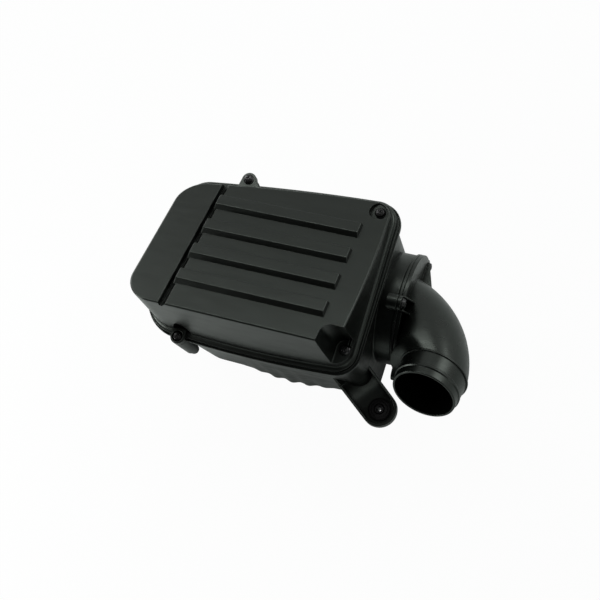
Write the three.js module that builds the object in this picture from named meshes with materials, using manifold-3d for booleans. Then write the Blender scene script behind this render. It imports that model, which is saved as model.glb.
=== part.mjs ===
// Air filter housing of a car engine: a deep lower housing, a wedge-shaped lid with four ribs,
// a pleated panel filter between them, and a bolted outlet elbow. Millimetres, +Z up.
// The origin is the middle of the flat base. X runs along the ribs, Y from the near side to the far side.
import * as THREE from "three";
import { mergeVertices } from "three/addons/utils/BufferGeometryUtils.js";
import Module from "manifold-3d";

const wasm = await Module();
wasm.setup();

// Values shared by every piece
const fit = 0.3; // gap between two pieces that touch
const wall = 3; // thickness of the moulded walls
const overrun = 6; // how far a cut passes the face that it opens
const sink = 1; // how far a moulded feature is rooted in the wall that carries it
const roundSides = 32; // sides of a large round
const smallSides = 16; // sides of a screw, boss or insert
const cornerSteps = 5; // steps in a rounded plan corner
const sideSteps = 4; // steps along a bowed side

// Lower housing: plan of its walls at the parting plane, as reaches from the middle of the base
const lowerHeight = 183;
const leftReach = 147;
const rightNearReach = 141;
const rightFarReach = 146;
const nearReach = 108.5;
const farLeftReach = 86;
const farRightReach = 109;
const nearBow = 7.5;
const farBow = 4.5;
const nearLeftRadius = 43;
const nearRightRadius = 20;
const farRightRadius = 22;
const farLeftRadius = 34;
const lowerCornerRadius = 31; // far right corner of the lower housing under its flange
const leftDraft = 10; // how far each wall leans in between the parting plane and the base
const nearDraft = 5;
const farDraft = 6;
const rightDraft = 0;
const baseNearBow = 1;
const baseEdge = 4; // chamfer round the base
const flangeLip = 5;
const flangeThickness = 4;

// Flutes in the near wall
const fluteCount = 8;
const flutePitch = 22;
const fluteRadius = 8;
const fluteRise = 3.2; // how far a flute stands out at the base
const fluteLength = 95;
const firstFluteX = -38;

// Lid: its top is a plane that falls from the near side to the far side
const lidTilt = THREE.MathUtils.degToRad(20.2);
const lidNearHeight = 88; // near edge of the top above the parting plane
const topLeftReach = 145;
const topRightReach = 134.5;
const topNearReach = 100;
const topFarLeft = 193; // length of the top down its slope, at its left and right ends
const topFarRight = 224;
const topFarBow = 6;
const topRightBow = 5;
const topNearLeftRadius = 35;
const topNearRightRadius = 12;
const topFarRightRadius = 20;
const topFarLeftRadius = 35;
const topEdge = 1.6; // chamfer round the top
const padWidth = 50.4;
const grooveFloor = 3.6;
const grooveDepth = 8;
const grooveSlopeRun = 7.6;

// Ribs on the lid
const ribCount = 4;
const ribPitch = 42;
const ribHeight = 6;
const ribNearRun = 5.4;
const ribFlat = 16.3;
const ribFarRun = 2;
const ribEndRun = 2.2;
const firstRibFoot = 32.2; // near foot of the first rib, down the slope
const ribLeft = 60;
const ribRight = 255;

// Corner pocket and far corner recess of the lid, over two of its screws
const pocketReach = 24.1; // from the right end of the top to the pocket's left wall
const pocketFarY = -75.5;
const pocketRadius = 12;
const pocketFloor = 18; // above the parting plane
const pocketLean = 8; // how far the left wall leans in between the top and the floor
const recessRadius = 13;
const recessFloor = 9;
const recessRim = 2.2; // wall left round the recess at the lid's far right corner
const cornerRibThickness = 1.6;
const cornerRibHeight = 6;
const cornerRibLength = 8;
const cornerRibSpacing = 3.2;
const cornerRibInset = 5.4; // from the right wall's foot to the first corner rib

// Screws
const headRadius = 6.2;
const headHeight = 3.2;
const washerRadius = 7;
const washerThickness = 1.4;
const shankRadius = 2.6;
const lidScrewReach = 13; // how far the screws of the lid go below the parting plane
const elbowScrewLength = 15;
const tipRoom = 2; // free depth below a screw's end
const crossLength = 6.4;
const crossWidth = 1.5;
const crossDepth = 2;
const insertWall = 1.7;
const insertLength = 10;
const bossWall = 3.2;

// Outside bosses that hold the lid: near left and far left
const nearBossX = -90;
const nearBossReach = 11.8; // from the near wall's foot to the screw
const nearBossLength = 48;
const nearBossTipLength = 12;
const nearBossTipRadius = 6.6;
const nearBossCup = 4; // depth of the cup round the near screw
const scoopRadius = 15;
const scoopHeight = 40;
const farTabX = -65.6;
const farTabY = 108.2;
const farTabRadius = 9;
const farTabRootLeft = 14; // reach of the tab's root to either side of its screw
const farTabRootRight = 20;
const nearCornerScrewInset = 4.6; // from the right end of the top
const nearCornerScrewY = -89.2;
const farCornerScrewInset = 12.4;
const farCornerScrewY = 95.5;
const cornerBossLength = 22;

// Panel filter
const filterLength = 238;
const filterWidth = 160;
const filterMiddleX = -14;
const filterMiddleY = -12;
const filterRim = 12; // width of the rubber frame
const filterRimHeight = 9;
const filterDepth = 50;
const ledge = 8; // margin of the frame that each half of the housing grips
const pleatCount = 34;
const pleatPaper = 13; // height of the folded sheet measured straight down
const stripThickness = 1.6;

// Round outlet collar and elbow on the right wall
const collarEndX = 170; // plane where the elbow meets the collar
const collarY = 8;
const collarBelow = 103; // collar axis below the parting plane
const collarRadius = 75.5;
const collarFlangeRadius = 77.5;
const collarFlange = 5;
const collarBore = 60; // round the middle of the elbow's body
const earRadius = 10;
const earReach = 79; // screw circle, round the middle of the elbow's body
const earAngles = [347, 95, 250].map(THREE.MathUtils.degToRad);
const lugAngle = THREE.MathUtils.degToRad(182); // a plain lug stands where the bend hides a screw
const earBossLength = 14;
const lugThickness = 7;
const sealWidth = 3;
const sealThickness = 2.4;
const sealRadius = 65;
const elbowWall = 3;
const bodyOffY = -8; // the elbow's body stands off the middle of its flange
const bodyOffZ = 8;
const bodyRadius = 52; // at the flange
const bendRadius = 51.5; // half way round the bend
const neckRadius = 44; // at the bead
const neckAfterBead = 43.4;
const bendReach = 54; // from the hinge line of the bend to its middle ring
const mouthX = 227.2; // middle of the mouth
const mouthY = -108.6;
const mouthBelow = 37.7; // below the parting plane
const mouthRise = THREE.MathUtils.degToRad(26.3); // the mouth faces the near side and up
const mouthYaw = THREE.MathUtils.degToRad(5.4); // and a little to the left
const bendRings = 9;
const mouthRadius = 41;
const beadRadius = 45.1;
const beadWidth = 3;
const beadFromMouth = 34.8;
const hoseRingRise = 1.3;
const hoseRingWidth = 5;
const hoseRingFromMouth = 12;
const finThickness = 2.4;
const finLow = 3; // height of a fin beside the screw head
const finHigh = 16; // height of a fin at the elbow's body
const finSpacing = 17; // between the middles of the two fins beside a screw head

// Foot: a tray on the near right corner of the lower housing that holds a rubber grommet
const footX = 160.5;
const footY = -126;
const footTurn = THREE.MathUtils.degToRad(-38);
const footRadius = 24;
const footLength = 60;
const footFloorBelow = 130;
const footFloor = 4;
const footWall = 3.4;
const footRim = 9;
const footWebNear = 52; // rise of each side web where it meets the housing
const footWebFar = 66;
const grommetRadius = 15.4;
const grommetWaist = 11;
const grommetFlange = 3.5;
const grommetTail = 11; // length of the round that runs on below the lower flange
const sleeveRadius = 6;
const sleeveBore = 4.2;

// Raw air inlet in the left wall of the lid
const inletWidth = 60;
const inletHeight = 26;
const inletMiddleY = -50;
const inletBottom = 8; // above the parting plane
const inletReach = 7; // how far it stands out from the wall

const looks = {
  plastic: { color: 0x1b1d1c, roughness: 0.55, metalness: 0 },
  cover: { color: 0x202321, roughness: 0.5, metalness: 0 },
  elbow: { color: 0x181a1a, roughness: 0.38, metalness: 0 },
  rubber: { color: 0x101214, roughness: 0.8, metalness: 0 },
  foam: { color: 0x2b2e30, roughness: 0.9, metalness: 0 },
  paper: { color: 0xd8cba4, roughness: 0.95, metalness: 0 },
  steel: { color: 0x2a2b2d, roughness: 0.4, metalness: 0.8 },
  brass: { color: 0xb08d4a, roughness: 0.4, metalness: 1 },
};

// Solids

function solidOf(geometry) {
  const bare = geometry.clone();
  bare.deleteAttribute("normal");
  bare.deleteAttribute("uv");
  const merged = mergeVertices(bare);
  return new wasm.Manifold(
    new wasm.Mesh({
      numProp: 3,
      vertProperties: merged.attributes.position.array,
      triVerts: new Uint32Array(merged.index.array),
    }),
  );
}

function join(...solids) {
  return solids.reduce((sum, solid) => sum.add(solid));
}

function cut(solid, ...tools) {
  return tools.reduce((rest, tool) => rest.subtract(tool), solid);
}

function nodeOf(name, solid, look) {
  const made = solid.getMesh();
  const geometry = new THREE.BufferGeometry();
  geometry.setAttribute("position", new THREE.BufferAttribute(made.vertProperties, 3));
  geometry.setIndex(new THREE.BufferAttribute(made.triVerts, 1));
  geometry.computeVertexNormals();
  const node = new THREE.Mesh(geometry, new THREE.MeshStandardMaterial(look));
  node.name = name;
  return node;
}

function box(x0, x1, y0, y1, z0, z1) {
  const geometry = new THREE.BoxGeometry(x1 - x0, y1 - y0, z1 - z0);
  return solidOf(geometry.translate((x0 + x1) / 2, (y0 + y1) / 2, (z0 + z1) / 2));
}

// An upright round between two heights, with its own radius at each end
function upright(x, y, z0, z1, bottomRadius, topRadius = bottomRadius, sides = smallSides) {
  const geometry = new THREE.CylinderGeometry(topRadius, bottomRadius, z1 - z0, sides);
  return solidOf(geometry.rotateX(Math.PI / 2).translate(x, y, (z0 + z1) / 2));
}

// A round along X between two places
function crosswise(x0, x1, y, z, radius, sides = smallSides) {
  const geometry = new THREE.CylinderGeometry(radius, radius, x1 - x0, sides);
  return solidOf(geometry.rotateZ(-Math.PI / 2).translate((x0 + x1) / 2, y, z));
}

function slab(points, z0, z1) {
  const geometry = new THREE.ExtrudeGeometry(new THREE.Shape(points), {
    depth: z1 - z0,
    bevelEnabled: false,
  });
  return solidOf(geometry.translate(0, 0, z0));
}

// A closed skin through rings of points, lowest ring first. Every ring has as many points as the plan.
function loft(rings, plan = rings[0].map((p) => new THREE.Vector2(p.x, p.y))) {
  const geometry = new THREE.ExtrudeGeometry(new THREE.Shape(plan), {
    depth: rings.length - 1,
    steps: rings.length - 1,
    bevelEnabled: false,
  });
  const place = geometry.attributes.position;
  for (let i = 0; i < place.count; i += 1) {
    const here = new THREE.Vector2(place.getX(i), place.getY(i));
    const distances = plan.map((p) => p.distanceToSquared(here));
    const index = distances.indexOf(Math.min(...distances));
    const point = rings[Math.round(place.getZ(i))][index];
    place.setXYZ(i, point.x, point.y, point.z);
  }
  return solidOf(geometry);
}

// Plan outlines

const wallPlan = {
  left: leftReach,
  rightNear: rightNearReach,
  rightFar: rightFarReach,
  near: nearReach,
  farLeft: farLeftReach,
  farRight: farRightReach,
  nearBow,
  farBow,
  rightBow: 0,
  radii: [nearLeftRadius, nearRightRadius, farRightRadius, farLeftRadius],
};

// The lower housing has a rounder far right corner than the lid
const lowerPlan = {
  ...wallPlan,
  radii: [nearLeftRadius, nearRightRadius, lowerCornerRadius, farLeftRadius],
};

const basePlan = {
  left: leftReach - leftDraft,
  rightNear: rightNearReach - rightDraft,
  rightFar: rightFarReach - rightDraft,
  near: nearReach - nearDraft,
  farLeft: farLeftReach - farDraft,
  farRight: farRightReach - farDraft,
  nearBow: baseNearBow,
  farBow,
  rightBow: 0,
  radii: lowerPlan.radii,
};

// Measured in the plane of the top, whose near edge is at zero
const topPlan = {
  left: topLeftReach,
  rightNear: topRightReach,
  rightFar: topRightReach,
  near: 0,
  farLeft: topFarLeft,
  farRight: topFarRight,
  nearBow: 0,
  farBow: topFarBow,
  rightBow: topRightBow,
  radii: [topNearLeftRadius, topNearRightRadius, topFarRightRadius, topFarLeftRadius],
};

function inset(plan, amount) {
  return {
    left: plan.left - amount,
    rightNear: plan.rightNear - amount,
    rightFar: plan.rightFar - amount,
    near: plan.near - amount,
    farLeft: plan.farLeft - amount,
    farRight: plan.farRight - amount,
    nearBow: plan.nearBow,
    farBow: plan.farBow,
    rightBow: plan.rightBow,
    radii: plan.radii.map((radius) => Math.max(radius - amount, wall)),
  };
}

const reaches = ["left", "rightNear", "rightFar", "near", "farLeft", "farRight"];
const bows = ["nearBow", "farBow", "rightBow"];

function blend(from, to, share) {
  const mixed = { radii: from.radii.map((r, i) => THREE.MathUtils.lerp(r, to.radii[i], share)) };
  for (const key of [...reaches, ...bows]) mixed[key] = THREE.MathUtils.lerp(from[key], to[key], share);
  return mixed;
}

// Points round one rounded corner, turning left
function cornerPoints(before, corner, after, radius) {
  const arriving = corner.clone().sub(before).normalize();
  const leaving = after.clone().sub(corner).normalize();
  const turn = Math.acos(THREE.MathUtils.clamp(arriving.dot(leaving), -1, 1));
  const start = corner.clone().addScaledVector(arriving, -radius * Math.tan(turn / 2));
  const centre = start.clone().add(new THREE.Vector2(-arriving.y, arriving.x).multiplyScalar(radius));
  const spoke = start.clone().sub(centre);
  return Array.from({ length: cornerSteps + 1 }, (_, i) =>
    spoke.clone().rotateAround(new THREE.Vector2(), (turn * i) / cornerSteps).add(centre),
  );
}

// The outline of a plan: four rounded corners, and sides that bow outwards
function outline(plan) {
  const corners = [
    new THREE.Vector2(-plan.left, -plan.near),
    new THREE.Vector2(plan.rightNear, -plan.near),
    new THREE.Vector2(plan.rightFar, plan.farRight),
    new THREE.Vector2(-plan.left, plan.farLeft),
  ];
  const points = [];
  corners.forEach((corner, i) => {
    const before = corners[(i + 3) % 4];
    const after = corners[(i + 1) % 4];
    const rounded = cornerPoints(before, corner, after, plan.radii[i]);
    const next = cornerPoints(corner, after, corners[(i + 2) % 4], plan.radii[(i + 1) % 4])[0];
    const end = rounded[cornerSteps];
    points.push(...rounded);
    for (let k = 1; k < sideSteps; k += 1) points.push(end.clone().lerp(next, k / sideSteps));
  });
  return points.map((point) => bowed(point, plan));
}

function bowed(point, plan) {
  const right = Math.max(plan.rightNear, plan.rightFar);
  const across = (2 * point.x + plan.left - right) / (plan.left + right);
  const swell = 1 - across * across;
  const middle = (plan.farRight - plan.near) / 2;
  const half = (plan.farRight + plan.near) / 2;
  const side = THREE.MathUtils.clamp((point.y - middle) / half, -1, 1);
  const shift = side < 0 ? plan.nearBow * swell * side : plan.farBow * swell * side;
  const rightShift = Math.max(across, 0) * plan.rightBow * (1 - side * side);
  return new THREE.Vector2(point.x + rightShift, point.y + shift);
}

function ringAt(plan, z) {
  return outline(plan).map((p) => new THREE.Vector3(p.x, p.y, z));
}

// The lid's top plane: x, distance down the slope, and height off the plane
const parting = lowerHeight;
const topFrame = new THREE.Matrix4()
  .makeTranslation(0, -topNearReach, parting + lidNearHeight)
  .multiply(new THREE.Matrix4().makeRotationX(-lidTilt));

function onTop(x, down, rise) {
  return new THREE.Vector3(x, down, rise).applyMatrix4(topFrame);
}

function topRing(plan, rise) {
  return outline(plan).map((p) => onTop(p.x, p.y, rise));
}

// A cut or rib along X or down the slope, from a section drawn in the top's own frame
function topPrism(points, xAxis, yAxis, zAxis, start, end) {
  const geometry = new THREE.ExtrudeGeometry(new THREE.Shape(points), {
    depth: end - start,
    bevelEnabled: false,
  });
  geometry.translate(0, 0, start);
  geometry.applyMatrix4(new THREE.Matrix4().makeBasis(xAxis, yAxis, zAxis));
  return solidOf(geometry.applyMatrix4(topFrame));
}

// Screws and inserts

const alongX = new THREE.Vector3(1, 0, 0);
const alongY = new THREE.Vector3(0, 1, 0);
const alongZ = new THREE.Vector3(0, 0, 1);

// A screw standing on the plane z = 0, its shank below
function screwSolid(length) {
  const washer = upright(0, 0, 0, washerThickness, washerRadius);
  const top = washerThickness + headHeight;
  const head = upright(0, 0, washerThickness, top, headRadius, headRadius - washerThickness);
  const shank = upright(0, 0, -length, sink, shankRadius, shankRadius, smallSides / 2);
  const half = crossLength / 2;
  const arm = crossWidth / 2;
  const slot = box(-half, half, -arm, arm, top - crossDepth, top + overrun);
  const otherSlot = box(-arm, arm, -half, half, top - crossDepth, top + overrun);
  return cut(join(washer, head, shank), slot, otherSlot);
}

const holeRadius = shankRadius + fit;
const insertRadius = holeRadius + insertWall;

function insertSolid() {
  const body = upright(0, 0, -insertLength, 0, insertRadius);
  return cut(body, upright(0, 0, -insertLength - overrun, overrun, holeRadius, holeRadius, smallSides / 2));
}

// The four screws of the lid: each stands on its own seat and enters an insert below the parting plane
const nearBossY = -nearReach - nearBossReach;
const nearCorner = { x: topRightReach - nearCornerScrewInset, y: nearCornerScrewY, seat: pocketFloor };
const farCorner = { x: topRightReach - farCornerScrewInset, y: farCornerScrewY, seat: recessFloor };
const cornerScrews = [nearCorner, farCorner];
const lidScrews = [
  { x: nearBossX, y: nearBossY, seat: flangeThickness + sink },
  { x: farTabX, y: farTabY, seat: flangeThickness + sink },
  ...cornerScrews,
];

// Elbow frame: origin at the middle of the joint plane, X out of the housing

const collarZ = parting - collarBelow;
const bodyY = collarY + bodyOffY;
const bodyZ = collarZ + bodyOffZ;

function earAt(angle) {
  return { y: bodyY + earReach * Math.cos(angle), z: bodyZ + earReach * Math.sin(angle), angle };
}

const ears = earAngles.map(earAt);
const lug = earAt(lugAngle);

const elbowStartX = collarEndX + fit;

// The mouth and the bead behind it
const mouth = new THREE.Vector3(mouthX, mouthY, parting - mouthBelow);
const mouthAhead = new THREE.Vector3(
  -Math.sin(mouthYaw) * Math.cos(mouthRise),
  -Math.cos(mouthYaw) * Math.cos(mouthRise),
  Math.sin(mouthRise),
);
const beadMiddle = mouth.clone().addScaledVector(mouthAhead, -beadFromMouth);

// The planes of all the rings round the bend pass through one hinge line
const hingeAxis = alongX.clone().cross(mouthAhead).normalize();
const bendTurn = alongX.angleTo(mouthAhead);
const beadOut = mouthAhead.clone().cross(hingeAxis);
const hinge = beadMiddle.clone().addScaledVector(beadOut, (elbowStartX - beadMiddle.x) / beadOut.x);
const flangeOut = alongX.clone().cross(hingeAxis);
const fromHinge = new THREE.Vector3(elbowStartX, bodyY, bodyZ).sub(hinge);

// A value that runs from start to end through a middle value half way
function through(start, middle, end, share) {
  const early = start * (1 - share) * (1 - 2 * share);
  const late = end * share * (2 * share - 1);
  return early + 4 * middle * share * (1 - share) + late;
}

// A ring of points round a middle, in the plane of two directions
function ringRound(middle, side, up, radius) {
  return Array.from({ length: roundSides }, (_, i) => {
    const angle = (2 * Math.PI * i) / roundSides;
    return middle
      .clone()
      .addScaledVector(side, radius * Math.cos(angle))
      .addScaledVector(up, radius * Math.sin(angle));
  });
}

function bendRing(share, inward) {
  const ahead = alongX.clone().applyAxisAngle(hingeAxis, bendTurn * share);
  const out = ahead.clone().cross(hingeAxis);
  const reach = through(fromHinge.dot(flangeOut), bendReach, beadMiddle.distanceTo(hinge), share);
  const along = fromHinge.dot(hingeAxis) * (1 - share);
  const middle = hinge.clone().addScaledVector(out, reach).addScaledVector(hingeAxis, along);
  const radius = through(bodyRadius, bendRadius, neckRadius, share) - inward;
  return ringRound(middle, hingeAxis, out, radius);
}

// The round body of the elbow from its flange to its bead
function bend(inward) {
  const rings = Array.from({ length: bendRings + 1 }, (_, i) => bendRing(i / bendRings, inward));
  const plan = ringRound(new THREE.Vector3(), alongX, alongY, 1).map((p) => new THREE.Vector2(p.x, p.y));
  return loft(rings, plan);
}

// A round on the axis of the mouth, from a profile of [distance behind the mouth, radius] pairs
function onNeck(profile) {
  const last = profile.length - 1;
  const points = [[profile[0][0], 0], ...profile, [profile[last][0], 0]];
  const geometry = new THREE.LatheGeometry(
    points.map(([behind, radius]) => new THREE.Vector2(radius, -behind)),
    roundSides,
  );
  geometry.applyQuaternion(new THREE.Quaternion().setFromUnitVectors(alongY, mouthAhead));
  return solidOf(geometry.translate(mouth.x, mouth.y, mouth.z));
}

function ringOnNeck(behind, width, radius) {
  const start = behind + width / 2;
  const chamfer = width / 4;
  return onNeck([
    [start, radius - chamfer],
    [start - chamfer, radius],
    [start - width + chamfer, radius],
    [start - width, radius - chamfer],
  ]);
}

// A round-ended plate that carries a screw, rooted in the round that it stands on
function earPlate(ear, x0, x1) {
  const root = new THREE.BoxGeometry(x1 - x0, 2 * earRadius, 2 * earRadius);
  root.translate((x0 + x1) / 2, earReach - earRadius, 0);
  root.rotateX(ear.angle).translate(0, bodyY, bodyZ);
  return join(crosswise(x0, x1, ear.y, ear.z, earRadius), solidOf(root));
}

// Two fins run from beside a screw head to the elbow's body
function earFins(ear) {
  const inward = new THREE.Vector3(0, bodyY - ear.y, bodyZ - ear.z);
  const length = inward.length() - bodyRadius + 3 * elbowWall;
  inward.normalize();
  const shape = new THREE.Shape([
    new THREE.Vector2(0, -sink),
    new THREE.Vector2(length, -sink),
    new THREE.Vector2(length, finHigh),
    new THREE.Vector2(0, finLow),
  ]);
  const basis = new THREE.Matrix4().makeBasis(inward, alongX, inward.clone().cross(alongX));
  return [-1, 1].map((side) => {
    const geometry = new THREE.ExtrudeGeometry(shape, { depth: finThickness, bevelEnabled: false });
    geometry.translate(0, 0, (side * finSpacing) / 2 - finThickness / 2);
    geometry.applyMatrix4(basis);
    return solidOf(geometry.translate(elbowStartX + collarFlange, ear.y, ear.z));
  });
}

function makeElbow() {
  const flangeEnd = elbowStartX + collarFlange;
  const flange = crosswise(elbowStartX, flangeEnd, collarY, collarZ, collarFlangeRadius, roundSides);
  const plates = ears.map((ear) => earPlate(ear, elbowStartX, flangeEnd));
  const lugPlate = earPlate(lug, elbowStartX, flangeEnd);
  const lugRound = crosswise(elbowStartX, elbowStartX + lugThickness, lug.y, lug.z, earRadius);
  const fins = ears.flatMap(earFins);
  const neck = onNeck([
    [beadFromMouth + sink, neckRadius],
    [beadFromMouth, neckRadius],
    [beadFromMouth - beadWidth / 2, neckAfterBead],
    [0, mouthRadius],
  ]);
  const bead = ringOnNeck(beadFromMouth, beadWidth, beadRadius);
  const hoseRing = ringOnNeck(hoseRingFromMouth, hoseRingWidth, mouthRadius + hoseRingRise);
  const neckBore = onNeck([
    [beadFromMouth + sink, neckRadius - elbowWall],
    [beadFromMouth - beadWidth / 2, neckAfterBead - elbowWall],
    [0, mouthRadius - elbowWall],
    [-overrun, mouthRadius - elbowWall],
  ]);
  const flangeBore = crosswise(
    elbowStartX - overrun,
    elbowStartX + sink / 2,
    bodyY,
    bodyZ,
    bodyRadius - elbowWall,
    roundSides,
  );
  const holes = ears.map((ear) =>
    crosswise(elbowStartX - overrun, flangeEnd + overrun, ear.y, ear.z, holeRadius),
  );
  const body = join(flange, bend(0), neck, bead, hoseRing, lugPlate, lugRound, ...plates, ...fins);
  return nodeOf("outlet_elbow", cut(body, bend(elbowWall), neckBore, flangeBore, ...holes), looks.elbow);
}

// Lid

function lidOuter() {
  const foot = parting + fit;
  return loft([
    ringAt(wallPlan, foot),
    topRing(inset(topPlan, -topEdge / 2), -topEdge),
    topRing(inset(topPlan, topEdge), 0),
  ]);
}

function lidInner() {
  const foot = parting + fit + flangeThickness;
  return loft([ringAt(inset(wallPlan, wall), foot), topRing(inset(topPlan, wall), -wall)]);
}

function grooveSection(grow) {
  const left = -topLeftReach + padWidth - grow;
  const floor = -grooveDepth - grow;
  const right = left + grooveFloor + 2 * grow;
  return [
    new THREE.Vector2(left, overrun),
    new THREE.Vector2(left, floor),
    new THREE.Vector2(right, floor),
    new THREE.Vector2(right + grooveSlopeRun, 0),
    new THREE.Vector2(right + grooveSlopeRun, overrun),
  ];
}

function groove(grow) {
  const end = topFarRight + overrun * 4;
  const down = new THREE.Vector3(0, -1, 0);
  return topPrism(grooveSection(grow), alongX, alongZ, down, -end, overrun * 4);
}

function ribs() {
  const depth = ribNearRun + ribFlat + ribFarRun;
  return Array.from({ length: ribCount }, (_, i) => {
    const near = firstRibFoot + i * ribPitch;
    const left = ribLeft - topLeftReach;
    const right = ribRight - topLeftReach;
    const corner = (x, down, rise) => onTop(x, down, rise);
    return loft([
      [
        corner(left, near, -sink),
        corner(right, near, -sink),
        corner(right, near + depth, -sink),
        corner(left, near + depth, -sink),
      ],
      [
        corner(left, near, 0),
        corner(right, near, 0),
        corner(right, near + depth, 0),
        corner(left, near + depth, 0),
      ],
      [
        corner(left + ribEndRun, near + ribNearRun, ribHeight),
        corner(right - ribEndRun, near + ribNearRun, ribHeight),
        corner(right - ribEndRun, near + ribNearRun + ribFlat, ribHeight),
        corner(left + ribEndRun, near + ribNearRun + ribFlat, ribHeight),
      ],
    ]);
  });
}

// The near right pocket, open to the near side and the right. Its left wall leans in towards the floor.
function pocketRing(height, grow) {
  const lean = (pocketLean * (lidNearHeight - height)) / (lidNearHeight - pocketFloor);
  const left = topRightReach - pocketReach + lean - grow;
  const far = pocketFarY + grow;
  const right = rightFarReach + overrun * 2;
  const near = -nearReach - nearBow - overrun * 2;
  const corner = cornerPoints(
    new THREE.Vector2(right, far),
    new THREE.Vector2(left, far),
    new THREE.Vector2(left, near),
    pocketRadius + grow,
  );
  const points = [
    new THREE.Vector2(left, near),
    new THREE.Vector2(right, near),
    new THREE.Vector2(right, far),
    ...corner,
  ];
  return points.map((p) => new THREE.Vector3(p.x, p.y, parting + height));
}

function pocket(grow) {
  return loft([pocketRing(pocketFloor - grow, grow), pocketRing(lidNearHeight + overrun * 2, grow)]);
}

// The far right recess round its screw
function recess(grow) {
  const radius = recessRadius + grow;
  const bottom = parting + recessFloor - grow;
  return upright(farCorner.x, farCorner.y, bottom, parting + lidNearHeight, radius, radius, roundSides);
}

// The recess keeps a thin wall between itself and the outside of the lid
function recessWell() {
  const within = loft([
    ringAt(inset(wallPlan, recessRim), parting + fit),
    topRing(inset(topPlan, recessRim), overrun),
  ]);
  return recess(0).intersect(within);
}

// The hollow in the near wall above the near left screw
function scoop(grow) {
  const radius = scoopRadius + grow;
  const ball = new THREE.SphereGeometry(1, roundSides, smallSides);
  ball.rotateX(Math.PI / 2);
  ball.scale(radius, radius, scoopHeight + grow);
  ball.translate(nearBossX, nearBossY, parting + flangeThickness);
  const floor = parting + flangeThickness + sink - grow;
  const above = box(
    nearBossX - 2 * radius,
    nearBossX + 2 * radius,
    nearBossY - 2 * radius,
    nearBossY + 2 * radius,
    floor,
    parting + lidNearHeight,
  );
  return solidOf(ball).intersect(above);
}

function tabOutline() {
  const root = farTabY - 2 * farTabRadius;
  const steps = smallSides / 2;
  const round = Array.from({ length: steps + 1 }, (_, i) => {
    const angle = (Math.PI * i) / steps;
    return new THREE.Vector2(
      farTabX + farTabRadius * Math.cos(angle),
      farTabY + farTabRadius * Math.sin(angle),
    );
  });
  return [
    new THREE.Vector2(farTabX - farTabRootLeft, root),
    new THREE.Vector2(farTabX + farTabRootRight, root),
    ...round,
  ];
}

function nearEar(z0, z1) {
  const radius = washerRadius + wall;
  const neck = box(nearBossX - radius, nearBossX + radius, nearBossY, -nearReach + overrun, z0, z1);
  return join(upright(nearBossX, nearBossY, z0, z1, radius), neck);
}

function frameOpening(z0, z1) {
  const halfLength = filterLength / 2 - ledge;
  const halfWidth = filterWidth / 2 - ledge;
  return box(
    filterMiddleX - halfLength,
    filterMiddleX + halfLength,
    filterMiddleY - halfWidth,
    filterMiddleY + halfWidth,
    z0,
    z1,
  );
}

function inletBox(grow, x0, x1) {
  const half = inletWidth / 2 + grow;
  const bottom = parting + inletBottom - grow;
  return box(x0, x1, inletMiddleY - half, inletMiddleY + half, bottom, bottom + inletHeight + 2 * grow);
}

function makeLid() {
  const foot = parting + fit;
  const flangeTop = parting + flangeThickness;
  const flange = slab(outline(inset(wallPlan, -flangeLip)), foot, flangeTop);
  const cup = flangeTop + sink + nearBossCup;
  const ear = nearEar(foot, cup);
  const tab = slab(tabOutline(), foot, flangeTop + sink);
  const cupBore = upright(nearBossX, nearBossY, flangeTop + sink, cup + overrun, washerRadius + fit);
  const stub = inletBox(wall, -leftReach - inletReach, -topLeftReach + 2 * wall);
  const stubBore = inletBox(0, -leftReach - inletReach - overrun, -topLeftReach + 4 * wall);
  const cornerRibs = Array.from({ length: 2 }, (_, i) => {
    const x = rightNearReach - cornerRibInset + i * cornerRibSpacing;
    const y = pocketFarY - cornerRibLength;
    const floor = parting + pocketFloor;
    return box(x, x + cornerRibThickness, y, pocketFarY + sink, floor - sink, floor + cornerRibHeight);
  });
  const hollow = cut(lidInner(), groove(wall), pocket(wall), recess(wall), scoop(wall));
  const shell = cut(cut(lidOuter(), groove(0), pocket(0), scoop(0)), hollow);
  const holes = lidScrews.map((s) =>
    upright(s.x, s.y, foot - overrun, parting + s.seat + overrun, holeRadius),
  );
  const posts = cornerScrews.map((s) =>
    upright(s.x, s.y, foot, parting + s.seat - sink, insertRadius + bossWall),
  );
  const filterWay = frameOpening(foot - overrun, flangeTop + overrun);
  const body = join(shell, flange, ear, tab, stub, ...posts, ...cornerRibs, ...ribs());
  const opened = cut(body, recessWell(), stubBore, cupBore, filterWay, ...holes);
  return nodeOf("lid", opened, looks.cover);
}

// Lower housing

function lowerOuter() {
  return loft([
    ringAt(inset(basePlan, baseEdge), 0),
    ringAt(blend(basePlan, lowerPlan, baseEdge / lowerHeight), baseEdge),
    ringAt(lowerPlan, parting),
  ]);
}

function lowerInner() {
  const floorShare = wall / lowerHeight;
  return loft([
    ringAt(inset(blend(basePlan, lowerPlan, floorShare), wall + baseEdge), wall),
    ringAt(inset(blend(basePlan, lowerPlan, (wall + baseEdge) / lowerHeight), wall), wall + baseEdge),
    ringAt(inset(lowerPlan, wall), parting - flangeThickness),
  ]);
}

// Flutes rise out of the near wall towards the base
function flutes() {
  const draftAngle = Math.atan2(nearDraft + nearBow - baseNearBow, lowerHeight);
  const riseAngle = Math.atan2(fluteRise, fluteLength);
  return Array.from({ length: fluteCount }, (_, i) => {
    const x = firstFluteX + i * flutePitch;
    const geometry = new THREE.CylinderGeometry(fluteRadius, fluteRadius, fluteLength, smallSides);
    geometry.rotateX(Math.PI / 2);
    geometry.translate(0, 0, fluteLength / 2);
    geometry.rotateX(draftAngle - riseAngle);
    const edge = -outlineReach(basePlan, x) - fluteRise + fluteRadius;
    return solidOf(geometry.translate(x, edge, 0));
  });
}

// How far the near side of a plan reaches at a place along X
function outlineReach(plan, x) {
  return -bowed(new THREE.Vector2(x, -plan.near), plan).y;
}

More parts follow.
